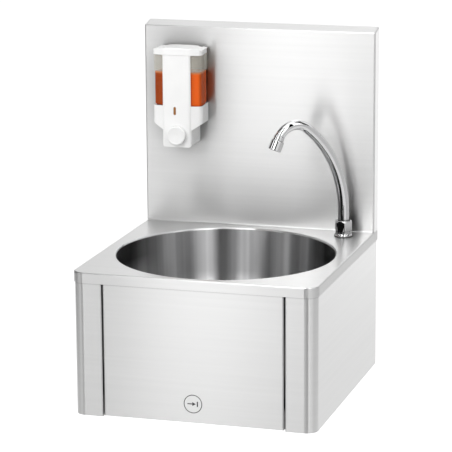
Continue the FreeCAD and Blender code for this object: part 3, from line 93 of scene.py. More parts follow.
def add_camera():
    """Camera at the photograph's viewing angle."""
    cos_pitch = math.cos(CAMERA_PITCH)
    back = Vector((
        math.sin(CAMERA_YAW) * cos_pitch,
        -math.cos(CAMERA_YAW) * cos_pitch,
        math.sin(CAMERA_PITCH),
    ))
    level = Vector((math.cos(CAMERA_YAW), math.sin(CAMERA_YAW), 0))
    above = back.cross(level)
    right = level * math.cos(CAMERA_ROLL) + above * math.sin(CAMERA_ROLL)
    up = above * math.cos(CAMERA_ROLL) - level * math.sin(CAMERA_ROLL)
    data = bpy.data.cameras.new("camera")
    data.sensor_width = SENSOR_WIDTH
    data.lens = SENSOR_WIDTH * FOCAL_PIXELS / IMAGE_SIZE
    data.clip_end = 50.0
    camera = bpy.data.objects.new("camera", data)
    turn = Matrix((right, up, back)).transposed().to_4x4()
    camera.matrix_world = Matrix.Translation(CAMERA_AIM + back * CAMERA_DISTANCE) @ turn
    bpy.context.collection.objects.link(camera)
    bpy.context.scene.camera = camera


# Shader helpers

def new_material(name):
    """Empty material with its tree and its shader."""
    material = bpy.data.materials.new(name)
    material.use_nodes = True
    tree = material.node_tree
    return material, tree, tree.nodes["Principled BSDF"]


def set_shader(shader, **values):
    """Sets plain values on the shader's own sockets."""
    for key, value in values.items():
        socket = shader.inputs[key.replace("_", " ").title().replace("Ior", "IOR")]
        socket.default_value = value


def feed(tree, socket, value):
    """Sets a socket to a number, or links it to another socket."""
    if isinstance(value, float):
        socket.default_value = value
    else:
        tree.links.new(value, socket)


def grey(tone):
    """Grey colour of a tone."""
    return (tone, tone, tone, 1)


def either(tree, first, second):
    """The larger of two values."""
    node = tree.nodes.new("ShaderNodeMath")
    node.operation = "MAXIMUM"
    tree.links.new(first, node.inputs[0])
    tree.links.new(second, node.inputs[1])
    return node.outputs[0]


def mixed(tree, factor, plain, seen):
    """Shader that turns from plain to seen with a factor."""
    node = tree.nodes.new("ShaderNodeMixShader")
    tree.links.new(factor, node.inputs["Fac"])
    tree.links.new(plain.outputs[0], node.inputs[1])
    tree.links.new(seen.outputs[0], node.inputs[2])
    return node


def noise(tree, stretch, detail=2.0, rough=0.5):
    """Noise in object space with its own scale along X, Y and Z, per metre."""
    place = tree.nodes.new("ShaderNodeTexCoord")
    mapping = tree.nodes.new("ShaderNodeMapping")
    mapping.inputs["Scale"].default_value = stretch
    tree.links.new(place.outputs["Object"], mapping.inputs["Vector"])
    texture = tree.nodes.new("ShaderNodeTexNoise")
    texture.inputs["Scale"].default_value = 1.0
    texture.inputs["Detail"].default_value = detail
    texture.inputs["Roughness"].default_value = rough
    tree.links.new(mapping.outputs["Vector"], texture.inputs["Vector"])
    return texture.outputs["Fac"]


def ramp(tree, value, first, second):
    """Colour ramp between two (position, colour) stops."""
    node = tree.nodes.new("ShaderNodeValToRGB")
    for element, (position, colour) in zip(node.color_ramp.elements, (first, second)):
        element.position = position
        element.color = (*colour, 1)
    tree.links.new(value, node.inputs["Fac"])
    return node.outputs["Color"]


def remap(tree, value, low, high, below, above):
    """Value that turns from below to above while another value goes from low to high."""
    node = tree.nodes.new("ShaderNodeMapRange")
    node.inputs["From Min"].default_value = low
    node.inputs["From Max"].default_value = high
    feed(tree, node.inputs["To Min"], below)
    feed(tree, node.inputs["To Max"], above)
    tree.links.new(value, node.inputs["Value"])
    return node.outputs["Result"]


def span(tree, value, low, high):
    """Spreads the middle half of a noise over the span from low to high."""
    return remap(tree, value, 0.25, 0.75, low, high)


def along(tree, axis, low, high, below, above):
    """Value that turns from below to above between two places along an axis of the frame."""
    place = tree.nodes.new("ShaderNodeTexCoord")
    parts = tree.nodes.new("ShaderNodeSeparateXYZ")
    tree.links.new(place.outputs["Object"], parts.inputs["Vector"])
    return remap(tree, parts.outputs[axis], low, high, below, above)


def multiplied(tree, colour, value):
    """Colour times a value."""
    mix = tree.nodes.new("ShaderNodeMix")
    mix.data_type = "RGBA"
    mix.blend_type = "MULTIPLY"
    mix.inputs["Factor"].default_value = 1.0
    tree.links.new(colour, mix.inputs["A"])
    tree.links.new(value, mix.inputs["B"])
    return mix.outputs["Result"]


def blended(tree, factor, colour, other):
    """Colour that turns into a plain other colour with a factor."""
    mix = tree.nodes.new("ShaderNodeMix")
    mix.data_type = "RGBA"
    mix.inputs["B"].default_value = (*other, 1)
    tree.links.new(factor, mix.inputs["Factor"])
    tree.links.new(colour, mix.inputs["A"])
    return mix.outputs["Result"]


def shaded(tree, colour, reach, open_share, darkest):
    """Paints shade into a colour where other surfaces stand within reach.

    The painted shade runs from the darkest share, a number or a socket, to none between the two open
    shares."""
    near = tree.nodes.new("ShaderNodeAmbientOcclusion")
    near.samples = 16
    near.inputs["Distance"].default_value = reach
    return multiplied(tree, colour, remap(tree, near.outputs["AO"], *open_share, darkest, 1.0))


def shade(colour, factor):
    """Colour made lighter or darker."""
    return tuple(min(channel * factor, 1.0) for channel in colour)


def tint(tree, shader, value, colour, spread):
    """Base colour that wanders by a small spread round a colour."""
    tone = ramp(tree, value, (0.3, shade(colour, 1 - spread)), (0.7, shade(colour, 1 + spread)))
    tree.links.new(tone, shader.inputs["Base Color"])


def bump(tree, shader, value, height):
    """Fine relief of a height in metres."""
    node = tree.nodes.new("ShaderNodeBump")
    node.inputs["Strength"].default_value = 1.0
    node.inputs["Distance"].default_value = height
    tree.links.new(value, node.inputs["Height"])
    tree.links.new(node.outputs["Normal"], shader.inputs["Normal"])


def grain_direction(tree, shader, direction):
    """Direction across the brushing, along which reflections smear."""
    node = tree.nodes.new("ShaderNodeCombineXYZ")
    for socket, value in zip(node.inputs, direction):
        socket.default_value = value
    tree.links.new(node.outputs["Vector"], shader.inputs["Tangent"])


# Studio

STUDIO_CENTRE = Vector((0, -0.2, DECK_TOP))
WORLD_LIGHT = 0.5
ROOM_MIRRORED = 0.80
FLOOR_BELOW_DECK = 0.85
FLOOR_REACH = 12.0
FLOOR_COLOUR = 0.85
FLOOR_GLOW = 0.62
CARD_DISTANCE = 3.4
CARD_STEP = 0.05
CARD_ABOVE_FLOOR = 0.005

# Cards that stand on the floor round the basin: name, from bearing, to bearing, tone
STANDING_CARDS = [
    ("grey_left_front", 199, 202.5, 0.2),
    ("light_left_front", 202.5, 208, 2.0),
    ("dark_left_front", 208, 214, 0.0),
    ("grey_left", 214, 266, 0.45),
    ("dark_left", 268, 294, 0.0),
    ("bright_wall_left", -22, 0, 0.96),
    ("bright_wall_right", 0, 22, 1.06),
    ("grey_right", 24, 113, 0.55),
    ("dark_right_front", 151, 163, 0.0),
    ("grey_front", 163, 184, 0.18),
]
# Low cards that stand a step nearer: name, from bearing, to bearing, tone
LOW_CARDS = [("low_dark_left", 208, 228, 0.0), ("low_grey_left", 228, 283, 0.12)]
# Leaning cards that make the upright bands in the bowl: from bearing, to bearing, tone
OVERHEAD_CARDS = [
    (30, 44, 0.2), (44, 60, 1.0), (60, 91, 0.05), (91, 111, 2.0), (111, 127, 0.0), (127, 150, 3.0),
    (150, 169, 0.0), (169, 176, 0.7), (176, 201, 3.0), (205, 230, 0.0), (230, 246, 1.8), (246, 268, 0.0),
    (268, 318, 0.05), (328, 385, 1.05),
]


def add_world():
    """Grey light all round, white where it is seen and paler in reflections."""
    world = bpy.data.worlds.new("studio")
    bpy.context.scene.world = world
    world.use_nodes = True
    tree = world.node_tree
    lights = {"plain": WORLD_LIGHT, "white": 1.0, "mirrored": ROOM_MIRRORED}
    shaders = {}
    for name, strength in lights.items():
        shaders[name] = tree.nodes.new("ShaderNodeBackground")
        shaders[name].inputs["Color"].default_value = grey(1)
        shaders[name].inputs["Strength"].default_value = strength
    path = tree.nodes.new("ShaderNodeLightPath")
    seen = either(tree, path.outputs["Is Camera Ray"], path.outputs["Is Transmission Ray"])
    shown = mixed(tree, seen, shaders["plain"], shaders["white"])
    whole = mixed(tree, path.outputs["Is Glossy Ray"], shown, shaders["mirrored"])
    tree.links.new(whole.outputs[0], tree.nodes["World Output"].inputs["Surface"])


def add_sheet(name, corners, material):
    """Flat sheet of the studio between four corners."""
    mesh = bpy.data.meshes.new(name)
    mesh.from_pydata(corners, [], [(0, 1, 2, 3)])
    mesh.materials.append(material)
    sheet = bpy.data.objects.new(name, mesh)
    bpy.context.collection.objects.link(sheet)
    return sheet


def floor_white():
    """Pale floor, plain in reflections and clear from underneath."""
    material, tree, shader = new_material("floor_white")
    shader.inputs["Base Color"].default_value = grey(FLOOR_COLOUR)
    shader.inputs["Roughness"].default_value = 0.9
    shader.inputs["Emission Color"].default_value = grey(FLOOR_GLOW)
    white = tree.nodes.new("ShaderNodeEmission")
    white.inputs["Color"].default_value = grey(ROOM_MIRRORED)
    path = tree.nodes.new("ShaderNodeLightPath")
    tree.links.new(path.outputs["Is Camera Ray"], shader.inputs["Emission Strength"])
    mirrored = either(tree, path.outputs["Is Glossy Ray"], path.outputs["Is Transmission Ray"])
    above = mixed(tree, mirrored, shader, white)
    under = tree.nodes.new("ShaderNodeNewGeometry").outputs["Backfacing"]
    whole = mixed(tree, under, above, tree.nodes.new("ShaderNodeBsdfTransparent"))
    tree.links.new(whole.outputs[0], tree.nodes["Material Output"].inputs["Surface"])
    return material


def add_floor():
    """Floor of the room, well below a basin that hangs on a wall."""
    level = DECK_TOP - FLOOR_BELOW_DECK
    ways = [(-1, -1), (1, -1), (1, 1), (-1, 1)]
    corners = [(x * FLOOR_REACH, y * FLOOR_REACH, level) for x, y in ways]
    floor = add_sheet("floor", corners, floor_white())


def add_softbox(name, place, size, power):
    """Square soft light, kept out of reflections, which the cards make."""
    data = bpy.data.lights.new(name, "AREA")
    data.shape = "SQUARE"
    data.size = size
    data.energy = power
    lamp = bpy.data.objects.new(name, data)
    lamp.location = STUDIO_CENTRE + Vector(place)
    lamp.rotation_euler = (-Vector(place)).to_track_quat("-Z", "Y").to_euler()
    lamp.visible_glossy = False
    bpy.context.collection.objects.link(lamp)


def add_lamps():
    """Key light from the left, fill light from the right and a soft light from above."""
    add_softbox("key", place=(-1.7, -2.4, 1.9), size=2.2, power=57)
    add_softbox("fill", place=(2.4, -1.6, 0.6), size=1.8, power=20)
    add_softbox("top", place=(-0.2, -0.5, 2.4), size=1.8, power=18)


def on_ring(bearing, distance, height):
    """Point of a ring round the basin; bearings run clockwise from the wall, seen from above."""
    angle = math.radians(bearing)
    level = Vector((math.sin(angle), math.cos(angle), 0)) * distance
    return STUDIO_CENTRE + level + Vector((0, 0, height))


def glowing(name, tone):
    """Plain grey glow."""
    material, tree, shader = new_material(name)
    tree.nodes.remove(shader)
    glow = tree.nodes.new("ShaderNodeEmission")
    glow.inputs["Color"].default_value = grey(tone)
    tree.links.new(glow.outputs[0], tree.nodes["Material Output"].inputs["Surface"])
    return material


def add_card(name, bearings, low_place, high_place, tone, high_bearings=None):
    """Studio card that only shows in reflections; a place is a distance and a height."""
    start, end = bearings
    high_start, high_end = high_bearings or bearings
    corners = [
        on_ring(start, *low_place), on_ring(end, *low_place),
        on_ring(high_end, *high_place), on_ring(high_start, *high_place),
    ]
    card = add_sheet(name, corners, glowing(name, tone))
    card.visible_camera = False
    card.visible_diffuse = False
    card.visible_shadow = False
    card.visible_transmission = False


def add_cards():
    """Cards round, above and below the basin."""
    floor = -FLOOR_BELOW_DECK
    foot = (CARD_DISTANCE, floor)
    waist = (CARD_DISTANCE, 0.15)
    head = (CARD_DISTANCE, 1.1)
    crown = (1.75, 3.4)
    top = (0.05, 3.4)
    near_foot = (CARD_DISTANCE - CARD_STEP, floor)
    near_knee = (CARD_DISTANCE - CARD_STEP, -0.45)
    below = (0.05, floor + CARD_ABOVE_FLOOR)
    near_floor = (0.9, floor + CARD_ABOVE_FLOOR)
    far_floor = (1.7, floor + CARD_ABOVE_FLOOR)
    add_card("bright_front", (194, 199), foot, waist, 1.95, high_bearings=(191, 199))
    add_card("floor_front", (150, 230), near_floor, far_floor, 0.5)
    for name, start, end, tone in STANDING_CARDS:
        add_card(name, (start, end), foot, head, tone)
    for name, start, end, tone in LOW_CARDS:
        add_card(name, (start, end), near_foot, near_knee, tone)
    for start, end, tone in OVERHEAD_CARDS:
        add_card("overhead_%d" % start, (start, end), head, crown, tone)
    for start in range(0, 360, 90):
        quarter = (start, start + 90)
        add_card("bright_top_%d" % start, quarter, crown, top, 1.3)
        add_card("floor_below_%d" % start, quarter, below, near_floor, 0.25)


# Metals

# Brushing: streaks per metre along and across the lines, fine and wide
ALONG_LINES = 2.5
FINE_LINES = 2400.0
WIDE_LINES = 160.0
UPRIGHT_SHEET_LINES = (ALONG_LINES, ALONG_LINES, FINE_LINES)
LEVEL_SHEET_LINES = (ALONG_LINES, FINE_LINES, FINE_LINES)
# Reach of the painted shade in seams and in corners, and the height over which a sheet's foot is painted
# lighter, standing in for light from the deck
SEAM_REACH = 0.008
CORNER_REACH = 0.09
FOOT_HEIGHT = 0.095
# Painted reflection streaks round the bowl, and painted shade at its ends: where the shade starts and
# ends in X, darkest share
PAINTED_BOWL_STREAKS = 26.0
BOWL_ENDS = [(0.108, 0.138, 0.03), (-0.138, -0.174, 0.03)]
# Depths below the deck's top where that painted shade is full and where it is gone
BOWL_SHADE_FULL = 0.03
BOWL_SHADE_GONE = 0.085
# Where the painted shade of the front wall starts, from the bowl's centre, and how far it takes to be
# full
BOWL_FRONT = 0.110
BOWL_FRONT_FADE = 0.033
# Depths below the deck's top where the painted highlight on the bowl's rolled rim starts and where it is
# full
RIM_STARTS = 0.0030
RIM_BRIGHT = 0.0015


def brushed_steel(name, lines_scale, across, corner_shade, foot_shade=None):
    """Satin sheet brushed along level lines, with painted shade in seams and corners; across is a
    direction over the lines.

    A sheet with a foot_shade gets weaker painted shade near its foot, a painted light that stands in for
    light from the deck."""
    material, tree, shader = new_material(name)
    set_shader(shader, metallic=1.0, anisotropic=0.95)
    lines = noise(tree, lines_scale)
    tone = ramp(tree, lines, (0.3, (0.800, 0.800, 0.797)), (0.7, (0.804, 0.804, 0.801)))
    streaks = noise(tree, [min(scale, WIDE_LINES) for scale in lines_scale])
    tone = multiplied(tree, tone, span(tree, streaks, 0.975, 1.01))
    # Painted shade in seams and in corners, put into the base colour
    tone = shaded(tree, tone, SEAM_REACH, open_share=(0.05, 0.30), darkest=0.35)
    darkest = corner_shade
    # Near the deck the painted corner shade is weaker: a painted lighter foot
    if foot_shade:
        darkest = along(tree, "Z", DECK_TOP, DECK_TOP + FOOT_HEIGHT, foot_shade, corner_shade)
    tone = shaded(tree, tone, CORNER_REACH, open_share=(0.45, 0.92), darkest=darkest)
    tree.links.new(tone, shader.inputs["Base Color"])
    tree.links.new(span(tree, lines, 0.274, 0.276), shader.inputs["Roughness"])
    grain_direction(tree, shader, across)
    return material


def painted_bowl_streaks(tree):
    """Painted reflection streaks: noise that changes round the bowl's centre only."""
    place = tree.nodes.new("ShaderNodeTexCoord")
    centred = tree.nodes.new("ShaderNodeVectorMath")
    centred.operation = "SUBTRACT"
    centred.inputs[1].default_value = BOWL_CENTRE
    tree.links.new(place.outputs["Object"], centred.inputs[0])
    turn = tree.nodes.new("ShaderNodeTexGradient")
    turn.gradient_type = "RADIAL"
    tree.links.new(centred.outputs["Vector"], turn.inputs["Vector"])
    streaks = tree.nodes.new("ShaderNodeTexNoise")
    streaks.noise_dimensions = "1D"
    streaks.inputs["Scale"].default_value = PAINTED_BOWL_STREAKS
    streaks.inputs["Detail"].default_value = 3.0
    tree.links.new(turn.outputs["Fac"], streaks.inputs["W"])
    return streaks.outputs["Fac"]


def spun_steel():
    """Polished bowl with painted reflection streaks down its wall, painted shade at its ends and front,
    and a painted highlight on its rolled rim.
    """
    material, tree, shader = new_material("spun_steel")
    set_shader(shader, metallic=1.0, anisotropic=1.0)
    # Painted reflection streaks in the wall's colour
    wall = ramp(tree, painted_bowl_streaks(tree), (0.35, (0.36, 0.36, 0.365)), (0.65, (0.66, 0.66, 0.665)))
    # Painted shade at the bowl's ends, full near the rim and gone lower down
    for pale, dark, darkest in BOWL_ENDS:
        share = along(tree, "Z", DECK_TOP - BOWL_SHADE_GONE, DECK_TOP - BOWL_SHADE_FULL, 1.0, darkest)
        wall = multiplied(tree, wall, along(tree, "X", pale, dark, 1.0, share))
    # Painted shade on the bowl's front wall
    front = BOWL_CENTRE.y - BOWL_FRONT
    wall = multiplied(tree, wall, along(tree, "Y", front, front - BOWL_FRONT_FADE, 1.0, 0.05))
    # Painted highlight along the rolled rim
    rim = along(tree, "Z", DECK_TOP - RIM_STARTS, DECK_TOP - RIM_BRIGHT, 0.0, 1.0)
    tree.links.new(blended(tree, rim, wall, (0.85, 0.85, 0.85)), shader.inputs["Base Color"])
    lines = noise(tree, (6.0, 6.0, 700.0), 3.0, 0.6)
    tree.links.new(span(tree, lines, 0.33, 0.36), shader.inputs["Roughness"])
    grain_direction(tree, shader, UPWARD)
    return material


def plain_metal(name, colour, roughness, grain):
    """Machined or rolled metal with a fine grain."""
    material, tree, shader = new_material(name)
    set_shader(shader, metallic=1.0)
    specks = noise(tree, (grain, grain, grain), 3.0, 0.6)
    tint(tree, shader, specks, colour, 0.06)
    tree.links.new(span(tree, specks, roughness * 0.8, roughness * 1.25), shader.inputs["Roughness"])
    return material


def chrome():
    """Polished chrome with a trace of polishing marks and painted shade where other surfaces stand close.
    """
    material, tree, shader = new_material("chrome_plate")
    set_shader(shader, metallic=1.0)
    marks = noise(tree, (60.0, 60.0, 60.0), 3.0, 0.6)
    tone = ramp(tree, marks, (0.3, (0.80, 0.80, 0.805)), (0.7, (0.82, 0.82, 0.825)))
    # Painted shade near other surfaces
    tone = shaded(tree, tone, reach=0.03, open_share=(0.42, 0.92), darkest=0.10)
    tree.links.new(tone, shader.inputs["Base Color"])
    tree.links.new(span(tree, marks, 0.03, 0.06), shader.inputs["Roughness"])
    return material


def braided_hose():
    """Rubber hose in a woven steel braid."""
    material, tree, shader = new_material("hose_braid")
    set_shader(shader, metallic=0.8, roughness=0.4)
    place = tree.nodes.new("ShaderNodeTexCoord")
    weave = tree.nodes.new("ShaderNodeTexChecker")
    weave.inputs["Scale"].default_value = 700.0
    weave.inputs["Color1"].default_value = (0.62, 0.62, 0.63, 1)
    weave.inputs["Color2"].default_value = (0.34, 0.34, 0.35, 1)
    tree.links.new(place.outputs["Object"], weave.inputs["Vector"])
    tree.links.new(weave.outputs["Color"], shader.inputs["Base Color"])
    bump(tree, shader, weave.outputs["Fac"], 0.3 * MM)
    return material


# Plastics, rubber and soap

def moulded(name, colour, roughness, spread=0.015, texture=0.01 * MM):
    """Moulded plastic with a fine skin."""
    material, tree, shader = new_material(name)
    set_shader(shader, ior=1.49)
    skin = noise(tree, (1400.0, 1400.0, 1400.0))
    clouds = noise(tree, (35.0, 35.0, 35.0))
    tint(tree, shader, clouds, colour, spread)
    tree.links.new(span(tree, skin, roughness * 0.85, roughness * 1.15), shader.inputs["Roughness"])
    bump(tree, shader, skin, texture)
    return material


def clear_plastic():
    """Clear tank wall with faint upright streaks, hazy where it is dry above the soap."""
    material, tree, shader = new_material("clear_tank")
    set_shader(shader, ior=1.49, specular_ior_level=0.3)
    streaks = noise(tree, (260.0, 260.0, 4.0))
    tint(tree, shader, streaks, (0.72, 0.70, 0.62), 0.25)
    tree.links.new(span(tree, streaks, 0.05, 0.10), shader.inputs["Roughness"])
    haze = along(tree, "Z", SOAP_TOP, SOAP_TOP + 2 * MM, 0.012, 0.30)
    tree.links.new(haze, shader.inputs["Alpha"])
    return material


def liquid_soap():
    """Orange soap, cloudy below, with a painted highlight along its surface, painted shading from dark at
    its left to light at its right, and painted shade at its right end.
    """
    material, tree, shader = new_material("orange_soap")
    set_shader(shader, ior=1.38, roughness=0.25, specular_ior_level=0.1)
    clouds = noise(tree, (60.0, 60.0, 8.0))
    soap_tone_and_painted_shade = ramp(tree, clouds, (0.3, (0.58, 0.080, 0.003)), (0.7, (0.76, 0.108, 0.004)))
    # Painted shading, darker at the soap's left and lighter at its right
    soap_tone_and_painted_shade = multiplied(tree, soap_tone_and_painted_shade, along(tree, "X", SOAP_LEFT, SOAP_RIGHT, 0.42, 1.15))
    # Painted shade at the soap's right end
    soap_tone_and_painted_shade = multiplied(tree, soap_tone_and_painted_shade, along(tree, "X", SOAP_RIGHT - 4 * MM, SOAP_RIGHT - 1 * MM, 1.0, 0.65))
    # Painted highlight along the soap's surface
    surface = along(tree, "Z", SOAP_TOP - 4 * MM, SOAP_TOP - 1 * MM, 0.0, 1.0)
    tree.links.new(blended(tree, surface, soap_tone_and_painted_shade, (0.62, 0.22, 0.09)), shader.inputs["Base Color"])
    return material


# Dressing

def materials_by_slot():
    """One material for each of the record's slots."""
    return {
        "brushed_sheet": brushed_steel("brushed_sheet_upright", UPRIGHT_SHEET_LINES, (0, 0.2, 1), 0.45),
        "bowl_steel": spun_steel(),
        "bracket_steel": plain_metal("rolled_steel", (0.55, 0.55, 0.56), 0.38, 300.0),
        "bright_steel": plain_metal("bright_steel", (0.66, 0.66, 0.67), 0.25, 500.0),
        "spring_steel": plain_metal("spring_wire", (0.48, 0.48, 0.49), 0.3, 800.0),
        "plunger_steel": plain_metal("ground_steel", (0.68, 0.68, 0.69), 0.22, 600.0),
        "brass": plain_metal("machined_brass", (0.70, 0.52, 0.25), 0.28, 400.0),
        "chrome": chrome(),
        "hose_braid": braided_hose(),
        "black_rubber": moulded("black_rubber", (0.03, 0.03, 0.03), 0.7, spread=0.15, texture=0.03 * MM),
        "nylon": moulded("natural_nylon", (0.78, 0.76, 0.68), 0.45),
        "trap_plastic": moulded("trap_white", (0.80, 0.80, 0.78), 0.4),
        "knob_plastic": moulded("knob_black", (0.04, 0.04, 0.045), 0.45, spread=0.1, texture=0.02 * MM),
        "white_plastic": moulded("dispenser_white", (0.885, 0.885, 0.88), 0.28),
        "amber_plastic": moulded("amber_window", (0.30, 0.12, 0.03), 0.15),
        "clear_plastic": clear_plastic(),
        "liquid_soap": liquid_soap(),
    }


def materials_by_node():
    """Materials of the nodes that look different from the rest of their slot."""
    return {
        # Deck with mild painted corner shade; backsplash with strong painted corner shade and a painted
        # lighter foot
        "deck": brushed_steel("brushed_sheet_level", LEVEL_SHEET_LINES, (0, 1, 0.3), 0.8),
        "backsplash": brushed_steel("brushed_sheet_splash", UPRIGHT_SHEET_LINES, (0, 0.2, 1), 0.45, 0.85),
        "pivot_bushes": moulded("black_nylon", (0.035, 0.035, 0.037), 0.5, spread=0.1),
    }


def dress_nodes():
    """Gives every CAD node its material."""
    by_slot = materials_by_slot()
    by_node = materials_by_node()
    for entry in frame["record"]["subparts"]:
        material = by_node.get(entry["node"], by_slot[entry["material_slot"]])
        for slot in nodes[entry["node"]].material_slots:
            slot.material = material


def material_of(node):
    """Material that a CAD node is dressed in."""
    return nodes[node].material_slots[0].material


# Meshes

def join_rings(shape, rings):
    """Faces between neighbouring rings of points."""
    for first, second in zip(rings, rings[1:]):
        for index in range(len(first)):
            after = (index + 1) % len(first)
            shape.faces.new((first[index], first[after], second[after], second[index]))


def smooth_mesh(name, shape, sharp_degrees):
    """Mesh of a shape, smooth apart from its sharp edges."""
    bmesh.ops.recalc_face_normals(shape, faces=shape.faces)
    mesh = bpy.data.meshes.new(name)
    shape.to_mesh(mesh)
    shape.free()
    mesh.shade_smooth()
    mesh.set_sharp_from_angle(angle=math.radians(sharp_degrees))
    return mesh


def turned_mesh(name, profile, place, way=UPWARD, flats=None, turn=0.0):
    """Closed ring turned round a way from a loop of (radius, height) points.

    It is cut to a hexagon where the width across its flats is given."""
    steps = 120
    rotation = way.to_track_quat("Z", "Y").to_matrix()
    shape = bmesh.new()
    rings = []
    for radius, height in profile:
        ring = []
        for step in range(steps):
            angle = 2 * math.pi * step / steps
            reach = radius
            if flats:
                aside = (angle - turn + math.pi / 6) % (math.pi / 3) - math.pi / 6
                reach = min(radius, flats / 2 / math.cos(aside))
            point = Vector((math.cos(angle) * reach, math.sin(angle) * reach, height))
            ring.append(shape.verts.new(place + rotation @ point))
        rings.append(ring)
    join_rings(shape, rings + rings[:1])
    return smooth_mesh(name, shape, sharp_degrees=22)


def coil_mesh(name, place, way, radius, wire, length, turns):
    """Round wire wound along a way, with flat ends."""
    around = 24
    sides = 10
    rotation = way.to_track_quat("Z", "Y").to_matrix()
    shape = bmesh.new()
    rings = []
    for step in range(turns * around + 1):
        angle = 2 * math.pi * step / around
        outward = Vector((math.cos(angle), math.sin(angle), 0))
        height = length * step / (turns * around)
        ring = []
        for side in range(sides):
            turn = 2 * math.pi * side / sides
            reach = radius + wire * math.cos(turn)
            point = outward * reach + Vector((0, 0, height + wire * math.sin(turn)))
            ring.append(shape.verts.new(place + rotation @ point))
        rings.append(ring)
    join_rings(shape, rings)
    shape.faces.new(rings[0])
    shape.faces.new(rings[-1])
    return smooth_mesh(name, shape, sharp_degrees=50)


def add_prism(shape, outline, front, back):
    """Prism between two places in Y from an outline of (x, z) points."""
    near = [shape.verts.new((x, front, z)) for x, z in outline]
    far = [shape.verts.new((x, back, z)) for x, z in outline]
    shape.faces.new(near)
    shape.faces.new(far)
    for index in range(len(outline)):
        after = (index + 1) % len(outline)
        shape.faces.new((near[index], near[after], far[after], far[index]))


# Pieces of the scene

# The spout's end points down and to the front left
SPOUT_TIP_WAY = Vector((-0.2955, -0.2955, -0.9085))
THREAD_PITCH = 1.8 * MM
THREAD_WIRE = 0.5 * MM
THREAD_SUNK = 0.1 * MM


def add_piece(name, mesh, material, body):
    """Object for a mesh that rides on a body."""
    mesh.materials.append(material)
    piece = bpy.data.objects.new(name, mesh)
    bpy.context.collection.objects.link(piece)
    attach(piece, body)
    return piece


def add_union_nut():
    """Union nut at the spout's foot with a domed shoulder and a chamfered foot."""
    foot = 14.2 * MM
    corner = 15.2 * MM
    shoulder = 12.2 * MM
    tube_hole = 9.9 * MM
    bore = 11.9 * MM
    chamfer = 1.2 * MM
    dome = 5.0 * MM
    collar = 1.8 * MM
    dome_steps = 8
    low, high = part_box("spout_nut")
    height = high[2] - low[2]
    profile = [(foot, 0), (corner, chamfer)]
    for step in range(dome_steps + 1):
        rise = step / dome_steps
        reach = shoulder + (corner - shoulder) * math.sqrt(1 - rise * rise)
        profile.append((reach, height - dome + rise * dome))
    profile += [(tube_hole, height), (tube_hole, height - collar), (bore, height - collar), (bore, 0)]
    place = Vector((*middle_of("spout_nut")[:2], low[2]))
    mesh = turned_mesh("union_nut", profile, place, flats=26.7 * MM, turn=math.radians(-38.4))
    piece = add_piece("union_nut", mesh, material_of("spout"), "basin")
    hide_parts("spout_nut")


def add_spout_sleeve():
    """Plain sleeve between the spout's tube and its aerator."""
    radius = 8.8 * MM
    edge = 8.5 * MM
    bore = 8.0 * MM
    length = 8.0 * MM
    aerator_half = 8.5 * MM
    place = Vector(middle_of("aerator_shell")) - SPOUT_TIP_WAY * (aerator_half + length)
    profile = [
        (bore, 0), (edge, 0.2 * MM), (radius, 0.8 * MM), (radius, length - 0.4 * MM),
        (edge, length), (bore, length),
    ]
    mesh = turned_mesh("spout_sleeve", profile, place, SPOUT_TIP_WAY)
    add_piece("spout_sleeve", mesh, material_of("spout"), "swivel_spout")


def add_press_sign():
    """Printed ring on the knee panel with an arrow that points at a bar."""
    outer = 15.1 * MM
    inner = 13.9 * MM
    proud = 0.12 * MM
    sunk = 0.05 * MM
    below_deck = 201 * MM
    arrow = [(-9, 0.8), (-1, 0.8), (-1, 3.2), (4.5, 0), (-1, -3.2), (-1, -0.8), (-9, -0.8)]
    bar = [(6.4, 4.2), (8.2, 4.2), (8.2, -4.2), (6.4, -4.2)]
    front = PANEL_FACE - proud
    back = PANEL_FACE + sunk
    centre = DECK_TOP - below_deck
    profile = [(inner, 0), (outer, 0), (outer, back - front), (inner, back - front)]
    mesh = turned_mesh("press_sign", profile, Vector((0, front, centre)), BACKWARD)
    shape = bmesh.new()
    shape.from_mesh(mesh)
    for outline in (arrow, bar):
        add_prism(shape, [(x * MM, centre + z * MM) for x, z in outline], front, back)
    bmesh.ops.recalc_face_normals(shape, faces=shape.faces)
    shape.to_mesh(mesh)
    shape.free()
    ink = moulded("printed_ink", (0.035, 0.035, 0.037), 0.5, spread=0.1)
    add_piece("press_sign", mesh, ink, "knee_panel_assembly")


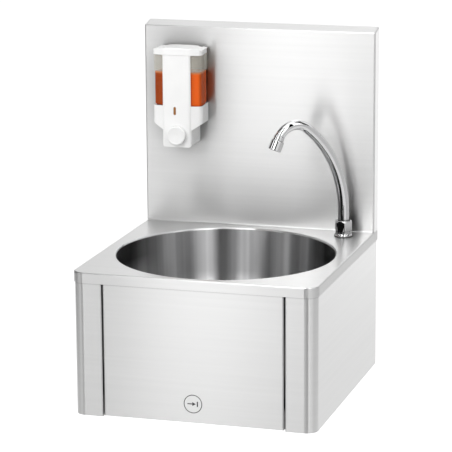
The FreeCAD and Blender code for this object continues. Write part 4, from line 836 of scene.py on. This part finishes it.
def add_spring(name, node, wire, turns):
    """Spring coiled along a part's box, in place of that part."""
    low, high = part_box(node)
    middle_x, _, middle_z = middle_of(node)
    radius = (high[0] - low[0]) / 2 - wire
    length = high[1] - low[1]
    start = Vector((middle_x, low[1] + wire, middle_z))
    mesh = coil_mesh(name, start, BACKWARD, radius, wire, length - 2 * wire, turns)
    spring = add_piece(name, mesh, material_of(node), "basin")
    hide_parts(node)
    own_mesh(spring)


def add_springs():
    """Springs of the knee valve and of the soap pump."""
    add_spring("knee_valve_spring", "valve_spring", 0.9 * MM, 7)
    add_spring("button_spring", "pump_spring", 0.4 * MM, 5)


def add_thread(name, place, way, radius, length, material):
    """Rounded thread on a plain cylinder."""
    turns = round(length / THREAD_PITCH)
    mesh = coil_mesh(name, place, way, radius - THREAD_SUNK, THREAD_WIRE, length, turns)
    add_piece(name, mesh, material, "basin")


def add_inlet_thread(node):
    """Pipe thread on the rear end of an inlet."""
    radius = 10.48 * MM
    length = 12.4 * MM
    start_to_rear = 13.2 * MM
    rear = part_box(node)[1][1]
    middle_x, _, middle_z = middle_of(node)
    start = Vector((middle_x, rear - start_to_rear, middle_z))
    add_thread(node + "_thread", start, BACKWARD, radius, length, material_of(node))


def add_shank_thread():
    """Thread on the faucet's shank below its nut."""
    radius = 10.0 * MM
    plain_end = 14.5 * MM
    below_nut = 1.0 * MM
    shank_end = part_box("faucet_base")[0][2]
    nut_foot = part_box("shank_locknut")[0][2]
    start = Vector((*middle_of("shank_locknut")[:2], shank_end + plain_end))
    length = nut_foot - start.z - below_nut
    add_thread("shank_thread", start, UPWARD, radius, length, material_of("faucet_base"))


def add_pieces():
    """Details that the solids leave out."""
    add_union_nut()
    add_spout_sleeve()
    add_press_sign()
    add_springs()
    add_inlet_thread("hot_inlet")
    add_inlet_thread("cold_inlet")
    add_shank_thread()


add_camera()
add_world()
add_floor()
add_lamps()
add_cards()
dress_nodes()
add_pieces()

bpy.context.scene.view_settings.view_transform = "Standard"
